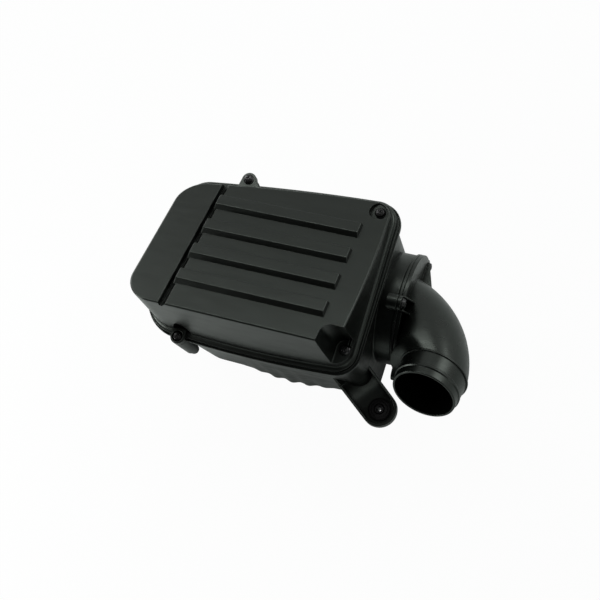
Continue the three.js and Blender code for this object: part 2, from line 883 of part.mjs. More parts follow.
function filterPocket(grow, z0, z1) {
  const halfLength = filterLength / 2 + grow;
  const halfWidth = filterWidth / 2 + grow;
  return box(
    filterMiddleX - halfLength,
    filterMiddleX + halfLength,
    filterMiddleY - halfWidth,
    filterMiddleY + halfWidth,
    z0,
    z1,
  );
}

const frameBottom = parting - fit - filterRimHeight;
const ledgeTop = frameBottom - fit;
const ledgeBottom = ledgeTop - wall;

function makeFootTray() {
  const floorTop = parting - footFloorBelow;
  const bottom = floorTop - footFloor;
  const halfTurn = smallSides;
  const stadium = (radius) => [
    new THREE.Vector2(-footLength, -radius),
    new THREE.Vector2(0, -radius),
    ...Array.from({ length: halfTurn - 1 }, (_, i) => {
      const angle = -Math.PI / 2 + (Math.PI * (i + 1)) / halfTurn;
      return new THREE.Vector2(radius * Math.cos(angle), radius * Math.sin(angle));
    }),
    new THREE.Vector2(0, radius),
    new THREE.Vector2(-footLength, radius),
  ];
  const flat = (points, z0, z1) => {
    const geometry = new THREE.ExtrudeGeometry(new THREE.Shape(points), {
      depth: z1 - z0,
      bevelEnabled: false,
    });
    return solidOf(geometry.translate(0, 0, z0).rotateZ(footTurn).translate(footX, footY, 0));
  };
  const rim = flat(stadium(footRadius), bottom, floorTop + footRim);
  const tray = flat(stadium(footRadius - footWall), floorTop, floorTop + footRim + overrun);
  const webs = [
    [-footRadius, footWebNear],
    [footRadius - footWall, footWebFar],
  ].map(([side, rise]) => {
    const shape = new THREE.Shape([
      new THREE.Vector2(-footLength, bottom),
      new THREE.Vector2(footRadius / 2, bottom),
      new THREE.Vector2(footRadius / 2, floorTop),
      new THREE.Vector2(0, floorTop + footRim),
      new THREE.Vector2(-footLength, floorTop + rise),
    ]);
    const geometry = new THREE.ExtrudeGeometry(shape, { depth: footWall, bevelEnabled: false });
    geometry.rotateX(Math.PI / 2);
    geometry.translate(0, side + footWall, 0);
    return solidOf(geometry.rotateZ(footTurn).translate(footX, footY, 0));
  });
  const hole = upright(footX, footY, bottom - overrun, floorTop + overrun, grommetWaist + fit);
  const outside = flat(stadium(footRadius), bottom - overrun, parting);
  const shaped = join(cut(rim, tray), ...webs).intersect(outside);
  return cut(shaped, hole);
}

function makeCollar() {
  const start = rightNearReach - 2 * wall;
  const barrel = crosswise(start, collarEndX, collarY, collarZ, collarRadius, roundSides);
  const rimStart = collarEndX - collarFlange;
  const rim = crosswise(rimStart, collarEndX, collarY, collarZ, collarFlangeRadius, roundSides);
  const bosses = ears.map((ear) => earPlate(ear, collarEndX - earBossLength, collarEndX));
  return join(barrel, rim, ...bosses);
}

function sealRing(grow, x0, x1) {
  const half = sealWidth / 2 + grow;
  const outer = crosswise(x0, x1, bodyY, bodyZ, sealRadius + half, roundSides);
  return cut(outer, crosswise(x0 - overrun, x1 + overrun, bodyY, bodyZ, sealRadius - half, roundSides));
}

function makeLowerHousing() {
  const flange = slab(outline(inset(wallPlan, -flangeLip)), parting - flangeThickness, parting);
  const barrelFoot = parting - nearBossLength;
  const barrelTop = washerRadius + wall;
  const barrel = upright(nearBossX, nearBossY, barrelFoot, parting, barrelTop - sink, barrelTop);
  const tipFoot = barrelFoot - nearBossTipLength;
  const tip = upright(nearBossX, nearBossY, tipFoot, barrelFoot + sink, nearBossTipRadius);
  const web = box(
    nearBossX - wall / 2,
    nearBossX + wall / 2,
    nearBossY,
    -nearReach + 2 * wall + nearDraft,
    barrelFoot,
    parting,
  );
  const tab = slab(tabOutline(), parting - flangeThickness, parting);
  const tabBoss = upright(
    farTabX,
    farTabY,
    parting - cornerBossLength,
    parting,
    insertRadius + fit + bossWall,
  );
  const cornerBosses = cornerScrews.map((s) =>
    upright(s.x, s.y, parting - cornerBossLength, parting, insertRadius + fit + bossWall),
  );
  const guide = cut(
    filterPocket(fit + wall, ledgeBottom, parting),
    filterPocket(fit, ledgeTop, parting + overrun),
    frameOpening(ledgeBottom - overrun, parting + overrun),
  );
  const boreStart = rightNearReach - 8 * wall;
  const bore = crosswise(boreStart, collarEndX + overrun, bodyY, bodyZ, collarBore, roundSides);
  const bosses = [barrel, tip, web, tab, tabBoss];
  const skin = join(lowerOuter(), flange, ...bosses, makeCollar(), makeFootTray(), ...flutes());
  const aboveGround = box(-2 * leftReach, 2 * collarEndX, -2 * nearReach, 2 * nearReach, 0, parting);
  const hollow = cut(lowerInner(), ...cornerBosses, filterPocket(fit + wall, ledgeBottom, parting));
  const shell = cut(skin.intersect(aboveGround), hollow, bore);
  const seats = lidScrews.map((s) => screwSeat(s.x, s.y));
  const sideSeats = ears.map((ear) => sideSeat(ear));
  const opened = cut(
    shell,
    filterPocket(fit, ledgeTop, parting + overrun),
    frameOpening(ledgeBottom - overrun, parting + overrun),
    sealRing(fit, collarEndX - sealThickness - fit, collarEndX + overrun),
    ...seats,
    ...sideSeats,
  );
  return nodeOf("lower_housing", join(opened, guide), looks.plastic);
}

// Stepped hole for an insert and for the screw's end below it
function screwSeat(x, y) {
  const insertHole = upright(x, y, parting - insertLength - 2 * fit, parting + overrun, insertRadius + fit);
  const tipHole = upright(x, y, parting - lidScrewReach - tipRoom, parting, holeRadius);
  return join(insertHole, tipHole);
}

function sideSeat(ear) {
  const start = collarEndX - insertLength - 2 * fit;
  return crosswise(start, collarEndX + overrun, ear.y, ear.z, insertRadius + fit);
}

// Filter

function makeFilterFrame() {
  const packLength = filterLength - 2 * filterRim;
  const packWidth = filterWidth - 2 * filterRim;
  const opening = box(
    filterMiddleX - packLength / 2,
    filterMiddleX + packLength / 2,
    filterMiddleY - packWidth / 2,
    filterMiddleY + packWidth / 2,
    frameBottom - overrun,
    parting + overrun,
  );
  const body = filterPocket(0, frameBottom, frameBottom + filterRimHeight);
  return nodeOf("filter_frame", cut(body, opening), looks.foam);
}

function makeFilterPleats() {
  const length = filterLength - 2 * filterRim - 2 * fit;
  const width = filterWidth - 2 * filterRim - 2 * fit - 2 * (stripThickness + fit);
  const top = parting - 2 * fit;
  const bottom = top - filterDepth;
  const folds = Array.from({ length: 2 * pleatCount + 1 }, (_, i) => {
    const height = i % 2 === 0 ? top : bottom + pleatPaper;
    return new THREE.Vector2((length * i) / (2 * pleatCount), height);
  });
  const lower = folds.map((p) => new THREE.Vector2(p.x, p.y - pleatPaper));
  const shape = new THREE.Shape([...lower, ...folds.reverse()]);
  const geometry = new THREE.ExtrudeGeometry(shape, { depth: width, bevelEnabled: false });
  geometry.rotateX(Math.PI / 2);
  geometry.translate(filterMiddleX - length / 2, filterMiddleY + width / 2, 0);
  return nodeOf("filter_pleats", solidOf(geometry), looks.paper);
}

function makeFilterStrip(name, side) {
  const length = filterLength - 2 * filterRim - 2 * fit;
  const outer = filterMiddleY + side * (filterWidth / 2 - filterRim - fit);
  const inner = outer - side * stripThickness;
  const top = parting - 2 * fit;
  const solid = box(
    filterMiddleX - length / 2,
    filterMiddleX + length / 2,
    Math.min(outer, inner),
    Math.max(outer, inner),
    top - filterDepth,
    top,
  );
  return nodeOf(name, solid, looks.paper);
}

// Grommet and sleeve of the foot

const footFloorTop = parting - footFloorBelow;

function grommetProfile(points) {
  return solidOf(
    new THREE.LatheGeometry([...points, points[0]].map(([r, z]) => new THREE.Vector2(r, z)), roundSides)
      .rotateX(Math.PI / 2)
      .translate(footX, footY, 0),
  );
}

function makeGrommet() {
  const low = footFloorTop - footFloor - fit;
  const high = footFloorTop + fit;
  const bore = sleeveRadius + fit;
  const flangeRadius = grommetRadius;
  const solid = grommetProfile([
    [bore, low - grommetFlange - grommetTail],
    [grommetWaist, low - grommetFlange - grommetTail],
    [grommetWaist, low - grommetFlange],
    [flangeRadius, low - grommetFlange],
    [flangeRadius, low],
    [grommetWaist, low],
    [grommetWaist, high],
    [flangeRadius, high],
    [flangeRadius, high + grommetFlange / 2],
    [flangeRadius - grommetFlange / 2, high + grommetFlange],
    [bore, high + grommetFlange],
  ]);
  return nodeOf("foot_grommet", solid, looks.rubber);
}

function makeSleeve() {
  const low = footFloorTop - footFloor - fit - grommetFlange - grommetTail;
  const high = footFloorTop + fit + grommetFlange;
  const solid = grommetProfile([
    [sleeveBore, low],
    [sleeveRadius, low],
    [sleeveRadius, high + sink],
    [sleeveBore, high + sink],
  ]);
  return nodeOf("foot_sleeve", solid, looks.steel);
}

// Assembly

const housing = new THREE.Group();
housing.add(makeLowerHousing(), makeLid(), makeElbow());
housing.add(makeFilterFrame(), makeFilterPleats());
housing.add(makeFilterStrip("filter_strip_near", -1), makeFilterStrip("filter_strip_far", 1));
housing.add(makeGrommet(), makeSleeve());

const seal = sealRing(0, collarEndX - sealThickness, collarEndX);
housing.add(nodeOf("elbow_seal", seal, looks.rubber));

lidScrews.forEach((s, i) => {
  const length = lidScrewReach + s.seat + fit;
  const screw = nodeOf(`lid_screw_${i + 1}`, screwSolid(length), looks.steel);
  screw.position.set(s.x, s.y, parting + s.seat + fit);
  const insert = nodeOf(`lid_insert_${i + 1}`, insertSolid(), looks.brass);
  insert.position.set(s.x, s.y, parting - fit);
  housing.add(screw, insert);
});

ears.forEach((ear, i) => {
  const screw = nodeOf(`elbow_screw_${i + 1}`, screwSolid(elbowScrewLength), looks.steel);
  screw.rotation.y = Math.PI / 2;
  screw.position.set(elbowStartX + collarFlange + fit, ear.y, ear.z);
  const insert = nodeOf(`elbow_insert_${i + 1}`, insertSolid(), looks.brass);
  insert.rotation.y = Math.PI / 2;
  insert.position.set(collarEndX - fit, ear.y, ear.z);
  housing.add(screw, insert);
});

export default housing;
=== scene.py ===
# %% [markdown]
# # An air filter housing in black moulded plastic
# The object is the air cleaner of a car engine: a deep lower housing, a wedge-shaped lid with four ribs,
# a pleated panel filter between them, and a bolted elbow that leads the clean air away.
# This lesson builds the visible surfaces around a measured model, which Blender loads as a fixed frame.

# %% Load the frame
import math

import bmesh
import bpy
from mathutils import Matrix, Vector


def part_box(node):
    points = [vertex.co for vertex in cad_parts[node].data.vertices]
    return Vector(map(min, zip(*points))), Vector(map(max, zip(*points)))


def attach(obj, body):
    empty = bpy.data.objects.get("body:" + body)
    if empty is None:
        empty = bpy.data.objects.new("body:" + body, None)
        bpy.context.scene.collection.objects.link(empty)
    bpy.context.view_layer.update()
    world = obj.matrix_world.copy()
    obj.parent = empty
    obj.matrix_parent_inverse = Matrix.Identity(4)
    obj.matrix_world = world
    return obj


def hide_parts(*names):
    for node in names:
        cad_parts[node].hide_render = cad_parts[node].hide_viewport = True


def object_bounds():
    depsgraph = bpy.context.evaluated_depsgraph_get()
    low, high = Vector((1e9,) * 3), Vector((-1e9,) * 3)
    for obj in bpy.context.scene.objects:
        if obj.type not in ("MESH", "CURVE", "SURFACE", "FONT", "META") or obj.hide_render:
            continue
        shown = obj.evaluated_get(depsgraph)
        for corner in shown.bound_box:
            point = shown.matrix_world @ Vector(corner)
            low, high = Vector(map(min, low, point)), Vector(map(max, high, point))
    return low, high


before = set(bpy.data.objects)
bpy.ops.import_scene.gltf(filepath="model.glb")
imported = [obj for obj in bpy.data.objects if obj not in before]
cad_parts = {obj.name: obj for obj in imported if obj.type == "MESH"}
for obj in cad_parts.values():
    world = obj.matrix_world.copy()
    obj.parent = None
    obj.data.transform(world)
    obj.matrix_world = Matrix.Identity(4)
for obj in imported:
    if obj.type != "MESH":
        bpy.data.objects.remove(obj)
cad_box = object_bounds()

# %% [markdown]
# ## Sizes
# The real housing is measured in millimetres, and Blender works in metres. One factor, `mm`, keeps the
# numbers readable. Places that the frame already holds, such as the parting plane and the middles of the
# screws, are read from it, so that the pieces sit exactly where the measured model has them.

# %% Shared sizes
mm = 0.001
fit = 0.3 * mm  # gap between two pieces that touch
wall = 3 * mm
overrun = 6 * mm  # how far a cutter passes the face that it opens
sink = 1 * mm  # how far a moulded feature is rooted in its wall
round_sides = 96
small_sides = 32
sharp_angle = math.radians(30)  # an edge that turns more than this stays crisp
lie_along_x = Matrix.Rotation(math.pi / 2, 4, "Y")
swap_y_and_z = Matrix(((1, 0, 0, 0), (0, 0, 1, 0), (0, 1, 0, 0), (0, 0, 0, 1)))
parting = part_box("lower_housing")[1].z


def middle_of(node):
    low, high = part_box(node)
    return (low + high) / 2


print("parting plane at", round(parting / mm, 1), "mm")

# %% [markdown]
# ## The camera
# The photograph looks steeply down on the housing from the right, with a long lens. A camera is placed
# by where it stands and how it is turned. The 60 mm lens on a 36 mm sensor keeps the far edges nearly as
# long as the near ones, as the photograph does.

# %% Camera
camera_place = Vector((429.6, -327.1, 1356.1)) * mm
camera_turn = (math.radians(17.93), math.radians(13.251), math.radians(17.136))
camera_data = bpy.data.cameras.new("camera")
camera_data.lens = 60
camera_data.sensor_width = 36
camera = bpy.data.objects.new("camera", camera_data)
camera.location = camera_place
camera.rotation_euler = camera_turn
bpy.context.scene.collection.objects.link(camera)
bpy.context.scene.camera = camera
print("camera stands", round(camera_place.length, 3), "m from the base")

# %% [markdown]
# ## Nodes in one line
# Materials, the floor and the room are all trees of nodes. A node gets links from other nodes or plain
# values, and one helper does either, so that a whole layer of a material can be read in one line.

# %% Node helpers


def feed(tree, node, values):
    """Gives inputs of a node their values: a link from another node's output, or a number or colour."""
    for name, value in values.items():
        if isinstance(value, bpy.types.NodeSocket):
            tree.links.new(value, node.inputs[name])
        else:
            node.inputs[name].default_value = value


def add_node(tree, kind, values, **settings):
    made = tree.nodes.new("ShaderNode" + kind)
    for name, setting in settings.items():
        setattr(made, name, setting)
    feed(tree, made, values)
    return made.outputs


def spread(tree, value, low, high, start=0.35, end=0.65):
    """Maps a value between start and end to one between low and high."""
    limits = {"From Min": start, "From Max": end, "To Min": low, "To Max": high}
    return add_node(tree, "MapRange", {"Value": value, **limits})["Result"]


def reckon(tree, operation, first, second):
    return add_node(tree, "Math", {0: first, 1: second}, operation=operation)[0]


def show_mixed(tree, share, first, second, end):
    """Mixes two shaders and sends them to the tree's last node."""
    mixed = add_node(tree, "MixShader", {0: share, 1: first, 2: second})[0]
    feed(tree, tree.nodes[end], {"Surface": mixed})


print("node helpers ready")

# %% [markdown]
# ## Studio
# Black plastic shows mostly what it mirrors. So the room matters more than the lamps: a pale floor lights
# the walls of the housing from below, and the room grows brighter towards its far side. Broad soft panels
# give the lid and the elbow their long, quiet highlights, and one narrow strip draws the edges of the
# ribs. The view transform stays Standard, so that a colour renders about as it is written.

# %% Floor, world and lamps
scene = bpy.context.scene
scene.view_settings.view_transform = "Standard"
floor_reach = 6.0
floor_drop = 0.5 * mm
floor_glow = 0.96  # how much of the floor's look is its own white, and the rest shows the shadow
mirrored_glow = 0.02  # the same share where the plastic mirrors the floor


def make_floor():
    bm = bmesh.new()
    bmesh.ops.create_grid(bm, x_segments=2, y_segments=2, size=floor_reach)
    bmesh.ops.translate(bm, verts=bm.verts, vec=(0, 0, cad_box[0].z - floor_drop))
    mesh = bpy.data.meshes.new("floor")
    bm.to_mesh(mesh)
    bm.free()
    floor = bpy.data.objects.new("floor", mesh)
    scene.collection.objects.link(floor)
    paper = bpy.data.materials.new("studio_paper")
    paper.use_nodes = True
    mesh.materials.append(paper)
    tree = paper.node_tree
    shader = tree.nodes["Principled BSDF"]
    feed(tree, shader, {"Roughness": 0.9, "Specular IOR Level": 0.1, "Base Color": (0.76, 0.81, 0.78, 1)})
    glow = add_node(tree, "Emission", {"Strength": 1.0})[0]
    seen = add_node(tree, "LightPath", {})
    total = reckon(tree, "MULTIPLY", seen["Is Camera Ray"], floor_glow)
    for way in ("Is Glossy Ray", "Is Transmission Ray"):
        total = reckon(tree, "MAXIMUM", total, reckon(tree, "MULTIPLY", seen[way], mirrored_glow))
    show_mixed(tree, total, shader.outputs[0], glow, "Material Output")


def make_world():
    world = bpy.data.worlds.new("studio")
    scene.world = world
    world.use_nodes = True
    tree = world.node_tree
    room = tree.nodes["Background"]
    ways = add_node(tree, "SeparateXYZ", {0: add_node(tree, "TexCoord", {})["Generated"]})
    total = spread(tree, ways["Y"], 0.03, 0.57, -0.4, 0.85)
    for low, high, start, end in ((0, 0.28, 0.2, 1), (0.2, 0, -0.75, -0.45)):
        total = reckon(tree, "ADD", total, spread(tree, ways["X"], low, high, start, end))
    feed(tree, room, {"Color": (1, 1, 1, 1), "Strength": total})
    backdrop = add_node(tree, "Background", {"Color": (1, 1, 1, 1), "Strength": 1.0})[0]
    seen = add_node(tree, "LightPath", {})["Is Camera Ray"]
    show_mixed(tree, seen, room.outputs[0], backdrop, "World Output")


def panel_lamp(name, place, aim, size, power):
    lamp = bpy.data.lights.new(name, "AREA")
    lamp.shape = "RECTANGLE"
    lamp.size, lamp.size_y = size
    lamp.energy = power
    holder = bpy.data.objects.new(name, lamp)
    holder.location = place
    holder.rotation_euler = (Vector(aim) - Vector(place)).to_track_quat("-Z", "Y").to_euler()
    scene.collection.objects.link(holder)


make_floor()
make_world()
panel_lamp("far_right_panel", (1.5, 1.5, 1.5), (0, 0, 0.15), (1.3, 1.0), 13)
panel_lamp("far_left_panel", (-1.7, 1.0, 1.0), (-0.1, 0, 0.15), (1.0, 0.8), 10)
panel_lamp("edge_strip", (-0.5, 0.75, 1.5), (0, 0, 0.2), (1.4, 0.2), 6)
panel_lamp("near_left_panel", (-0.8, -0.55, 0.45), (-0.2, -0.25, 0), (0.4, 0.4), 4)
panel_lamp("near_right_panel", (0.8, -0.7, 0.5), (0.2, -0.15, 0), (0.4, 0.4), 0.5)
print("lamps", [lamp.name for lamp in bpy.data.lights])

# %% [markdown]
# ## Materials
# The plastic is near black, but never one flat value. Its mould was spark-eroded, which leaves a fine
# grain; handling polishes it here and there, and edges turn a little paler. Where faces shelter one
# another, in a groove or under a rim, the gloss is turned down as painted shade. Each plastic is built
# from the same few layers, so one function makes them all and only the numbers differ.

# %% Moulded plastic
cloud_size = 45 * mm
streak_size = 8 * mm
worn_edge = 0.7 * mm
# painted shade: how far the occlusion reaches, and the gloss that it leaves in the deepest hollows
painted_shade_reach = 10 * mm
painted_shade_gloss = 0.05
open_gloss = 0.5


def noise(tree, coords, size, detail=3.0, stretch=(1, 1, 1)):
    """Noise whose spots are about size across, in metres."""
    scaled = add_node(tree, "Mapping", {"Vector": coords, "Scale": stretch})[0]
    return add_node(tree, "TexNoise", {"Vector": scaled, "Scale": 1 / size, "Detail": detail})["Fac"]


def two_tones(tree, share, first, second):
    """Mixes two colours. A Mix node has sockets of each kind, and 6, 7 and 2 are those for colours."""
    tones = [tone if isinstance(tone, bpy.types.NodeSocket) else (*tone, 1) for tone in (first, second)]
    return add_node(tree, "Mix", {0: share, 6: tones[0], 7: tones[1]}, data_type="RGBA")[2]


def bump(tree, height, distance, strength, below=None):
    """Small bumps, on top of the normal that another bump or a bevel gives."""
    values = {"Height": height, "Distance": distance, "Strength": strength}
    if below is not None:
        values["Normal"] = below
    return add_node(tree, "Bump", values)[0]


def edge_wear(tree, radius):
    """1 where two faces meet within the radius, 0 on flats, and the softened normal."""
    soft = add_node(tree, "Bevel", {"Radius": radius}, samples=6)[0]
    flat = add_node(tree, "NewGeometry", {})["Normal"]
    dot = add_node(tree, "VectorMath", {0: soft, 1: flat}, operation="DOT_PRODUCT")["Value"]
    return spread(tree, dot, 1, 0, 0.86, 0.985), soft


def new_material(name):
    made = bpy.data.materials.new(name)
    made.use_nodes = True
    tree = made.node_tree
    return made, tree, tree.nodes["Principled BSDF"], add_node(tree, "TexCoord", {})["Object"]


def moulded(name, dark, light, worn, gloss, grain, depth):
    """Black plastic. gloss is its least and greatest roughness, grain and depth are those of its bumps."""
    made, tree, shader, coords = new_material(name)
    cloud = noise(tree, coords, cloud_size, 4)
    streak = noise(tree, coords, streak_size, 3, (0.2, 1, 1))
    fine = noise(tree, coords, grain, 2)
    tone = two_tones(tree, spread(tree, cloud, 0, 1, 0.3, 0.7), dark, light)
    wear, softened = edge_wear(tree, worn_edge)
    patchy = reckon(tree, "MULTIPLY", wear, spread(tree, streak, 0.25, 1, 0.35, 0.6))
    # painted shade: ambient occlusion lowers the gloss in grooves and under rims, so they render darker
    painted_shade_mask = add_node(tree, "AmbientOcclusion", {"Distance": painted_shade_reach}, samples=4)["AO"]
    feed(tree, shader, {
        "Base Color": two_tones(tree, patchy, tone, worn),
        "Roughness": spread(tree, streak, *gloss, 0.3, 0.7),
        "Specular IOR Level": spread(tree, painted_shade_mask, painted_shade_gloss, open_gloss, 0.2, 0.68),
        "Specular Tint": (0.88, 1.0, 0.90, 1),
        "Normal": bump(tree, fine, depth, 0.6, bump(tree, cloud, 0.6 * mm, 0.25, softened)),
    })
    return made


lower_plastic = moulded("lower_plastic", (0.0010, 0.0012, 0.0010), (0.0020, 0.0023, 0.0020),
                        (0.022, 0.024, 0.022), (0.32, 0.42), 0.8 * mm, 0.025 * mm)
lid_plastic = moulded("lid_plastic", (0.0009, 0.0011, 0.0009), (0.0019, 0.0022, 0.0019),
                      (0.026, 0.028, 0.026), (0.29, 0.35), 0.7 * mm, 0.015 * mm)
elbow_plastic = moulded("elbow_plastic", (0.0010, 0.0012, 0.0011), (0.0020, 0.0023, 0.0021),
                        (0.022, 0.024, 0.022), (0.26, 0.36), 0.9 * mm, 0.010 * mm)
print("plastics", [m.name for m in bpy.data.materials])

# %% [markdown]
# Rubber is duller than plastic and has a skin of fine pores. The black screws are metal under a thin
# coat that has rubbed through on the sharpest edges. Brass inserts keep a turned, slightly stained look.

# %% Rubber, foam and metals


def soft_stuff(name, dark, light, gloss, pore, depth):
    made, tree, shader, coords = new_material(name)
    pores = noise(tree, coords, pore)
    feed(tree, shader, {
        "Base Color": two_tones(tree, spread(tree, pores, 0, 1), dark, light),
        "Roughness": spread(tree, noise(tree, coords, 12 * mm), *gloss),
        "Specular IOR Level": 0.35,
        "Normal": bump(tree, pores, depth, 0.7),
    })
    return made


def coated_metal(name, coat, bare, gloss, metal):
    made, tree, shader, coords = new_material(name)
    cloud = noise(tree, coords, 5 * mm)
    fine = noise(tree, coords, 0.3 * mm, 2)
    wear, softened = edge_wear(tree, 0.4 * mm)
    patchy = reckon(tree, "MULTIPLY", wear, spread(tree, cloud, 0.1, 1, 0.4, 0.6))
    tone = two_tones(tree, spread(tree, fine, 0, 0.12), coat, bare)
    feed(tree, shader, {
        "Base Color": two_tones(tree, patchy, tone, bare),
        "Roughness": spread(tree, cloud, *gloss),
        "Metallic": metal,
        "Normal": bump(tree, fine, 0.02 * mm, 0.5, softened),
    })
    return made


grommet_rubber = soft_stuff("grommet_rubber", (0.004, 0.004, 0.004), (0.008, 0.008, 0.008),
                            (0.55, 0.75), 0.6 * mm, 0.04 * mm)
seal_foam = soft_stuff("seal_foam", (0.02, 0.022, 0.024), (0.045, 0.047, 0.05),
                       (0.8, 0.95), 0.9 * mm, 0.15 * mm)
screw_steel = coated_metal("screw_steel", (0.004, 0.0045, 0.0045), (0.06, 0.06, 0.06), (0.14, 0.26), 0.15)
sleeve_steel = coated_metal("sleeve_steel", (0.015, 0.015, 0.016), (0.12, 0.12, 0.12), (0.3, 0.5), 0.6)
insert_brass = coated_metal("insert_brass", (0.55, 0.38, 0.15), (0.75, 0.58, 0.28), (0.25, 0.45), 1.0)
print("fittings", grommet_rubber.name, seal_foam.name, screw_steel.name)

# %% [markdown]
# Filter paper is a pale felt of fibres, stiffened with resin, and its long fibres lie every way. The card
# at its ends is the same stock, thicker and a little browner.

# %% Paper


def fibre_sheet(name, dark, light, fibre):
    made, tree, shader, coords = new_material(name)
    along, across = [noise(tree, coords, fibre, 4, way) for way in ((0.35, 1, 1), (1, 0.35, 1))]
    fibres = reckon(tree, "MAXIMUM", along, across)
    cloud = noise(tree, coords, 25 * mm)
    share = reckon(tree, "MULTIPLY", spread(tree, fibres, 0, 1, 0.4, 0.75), spread(tree, cloud, 0.5, 1))
    feed(tree, shader, {
        "Base Color": two_tones(tree, share, dark, light),
        "Roughness": spread(tree, cloud, 0.82, 0.95),
        "Specular IOR Level": 0.2,
        "Normal": bump(tree, fibres, 0.08 * mm, 0.6),
    })
    return made


filter_paper = fibre_sheet("filter_paper", (0.52, 0.45, 0.29), (0.70, 0.63, 0.45), 1.2 * mm)
filter_card = fibre_sheet("filter_card", (0.44, 0.37, 0.24), (0.58, 0.50, 0.34), 1.6 * mm)
print("papers", filter_paper.name, filter_card.name)

# %% [markdown]
# ## Ways of making a shape
# Most of the housing is a rounded outline that grows into another. Such an outline starts as four points
# and one face. Bevelling a single corner point rounds it, cutting the long sides gives them points to
# bend, and a small formula then bows them. Two outlines made alike can be bridged with clean quads.

# %% Outlines
corner_steps = 12
side_cuts = 7
plan_sides = ("left", "right_near", "right_far", "near", "far_left", "far_right")
plan_bows = ("near_bow", "far_bow", "right_bow")


def plan_of(radii, sides, bows):
    """An outline from its corners' radii, how far its sides reach from the origin, and their bows in mm."""
    sizes = zip(plan_sides + plan_bows, (*sides, *bows))
    return {"radii": [r * mm for r in radii], **{name: size * mm for name, size in sizes}}


def inset(plan, amount):
    drawn_in = {side: plan[side] - amount for side in plan_sides}
    return {**plan, **drawn_in, "radii": [max(r - amount, wall) for r in plan["radii"]]}


def between(low, high, share):
    made = {k: low[k] + (high[k] - low[k]) * share for k in plan_sides + plan_bows}
    made["radii"] = [a + (b - a) * share for a, b in zip(low["radii"], high["radii"])]
    return made


def bow_shift(plan, x, y):
    right = max(plan["right_near"], plan["right_far"])
    across = (2 * x + plan["left"] - right) / (plan["left"] + right)
    swell = 1 - across * across
    middle = (plan["far_right"] - plan["near"]) / 2
    half = (plan["far_right"] + plan["near"]) / 2
    side = max(-1, min(1, (y - middle) / half))
    along_y = (plan["near_bow"] if side < 0 else plan["far_bow"]) * swell * side
    return Vector((max(across, 0) * plan["right_bow"] * (1 - side * side), along_y))


def round_corner(bm, corner, radius):
    """Rounds one corner point of a flat face to a true radius."""
    arms = [(e.other_vert(corner).co - corner.co).normalized() for e in corner.link_edges]
    reach = radius / math.tan(arms[0].angle(arms[1]) / 2)
    bmesh.ops.bevel(bm, geom=[corner], offset=reach, offset_type="OFFSET", segments=corner_steps,
                    profile=0.5, affect="VERTICES", clamp_overlap=False, material=-1)


def plan_face(bm, plan, place):
    """Adds one flat face with a plan's outline, put in place by a function of x and y."""
    flat = bmesh.new()
    left, right_near, right_far, near, far_left, far_right = [plan[side] for side in plan_sides]
    points = ((-left, -near), (right_near, -near), (right_far, far_right), (-left, far_left))
    corners = [flat.verts.new((x, y, 0)) for x, y in points]
    flat.faces.new(corners)
    for corner, radius in zip(corners, plan["radii"]):
        round_corner(flat, corner, radius)
    longest = sorted(flat.edges, key=lambda e: -e.calc_length())[:4]
    bmesh.ops.subdivide_edges(flat, edges=longest, cuts=side_cuts)
    for v in flat.verts:
        bent = v.co.xy + bow_shift(plan, v.co.x, v.co.y)
        v.co = place(bent.x, bent.y)
    sheet = bpy.data.meshes.new("plan")
    flat.to_mesh(sheet)
    flat.free()
    bm.from_mesh(sheet)
    bpy.data.meshes.remove(sheet)


def level(z):
    return lambda x, y: Vector((x, y, z))


print("outlines have", 4 * (corner_steps + side_cuts + 1), "points")

# %% [markdown]
# A loft bridges outlines from the bottom up. The cap faces in between are removed first, because a face
# inside a solid would spoil the cuts that follow. The rim of the top cap can be rounded at the same time,
# which is what gives the lid its thin light line along the edge.

# %% Solids
same_point = 0.002 * mm


def new_piece(bm, name):
    """Turns a bmesh into an object at the origin, with its faces turned outwards."""
    bmesh.ops.remove_doubles(bm, verts=bm.verts, dist=same_point)
    bmesh.ops.recalc_face_normals(bm, faces=bm.faces)
    mesh = bpy.data.meshes.new(name)
    bm.to_mesh(mesh)
    bm.free()
    made = bpy.data.objects.new(name, mesh)
    scene.collection.objects.link(made)
    return made


def soften(bm, edges, radius, segments=3):
    bmesh.ops.bevel(bm, geom=edges, offset=radius, offset_type="OFFSET", segments=segments,
                    profile=0.5, affect="EDGES", clamp_overlap=False, material=-1)


def push(bm, faces, shift):
    """Extrudes faces by a shift, which makes a flat outline solid."""
    grown = bmesh.ops.extrude_face_region(bm, geom=faces)["geom"]
    bmesh.ops.translate(bm, verts=[g for g in grown if isinstance(g, bmesh.types.BMVert)], vec=shift)


def loft(name, sections, top_round=0, bottom_round=0):
    bm = bmesh.new()
    for plan, place in sections:
        plan_face(bm, plan, place)
    faces = list(bm.faces)
    rims = [list(face.edges) for face in faces]
    bmesh.ops.delete(bm, geom=faces[1:-1], context="FACES_ONLY")
    for low, high in zip(rims, rims[1:]):
        bmesh.ops.bridge_loops(bm, edges=low + high)
    bmesh.ops.recalc_face_normals(bm, faces=bm.faces)
    for face, radius in ((faces[-1], top_round), (faces[0], bottom_round)):
        if radius:
            soften(bm, list(face.edges), radius, 4)
    return new_piece(bm, name)


def block(name, x0, x1, y0, y1, z0, z1, rounding=0):
    bm = bmesh.new()
    size = Matrix.Diagonal((x1 - x0, y1 - y0, z1 - z0, 1))
    place = Matrix.Translation(((x0 + x1) / 2, (y0 + y1) / 2, (z0 + z1) / 2))
    bmesh.ops.create_cube(bm, size=1, matrix=place @ size)
    if rounding:
        soften(bm, list(bm.edges), rounding)
    return new_piece(bm, name)


def round_bar(name, axis, low, high, place, radii, sides, rounds):
    """A round between two places on an axis, with the rim of its high end and then its low end rounded."""
    bm = bmesh.new()
    bmesh.ops.create_cone(bm, cap_ends=True, segments=sides, radius1=radii[0], radius2=radii[1],
                          depth=high - low, matrix=place)
    for end, rounding in zip((high, low), rounds):
        if rounding:
            caps = [f for f in bm.faces
                    if len(f.verts) > 4 and abs(f.calc_center_median()[axis] - end) < sink / 4]
            soften(bm, list(caps[0].edges), rounding)
    return new_piece(bm, name)


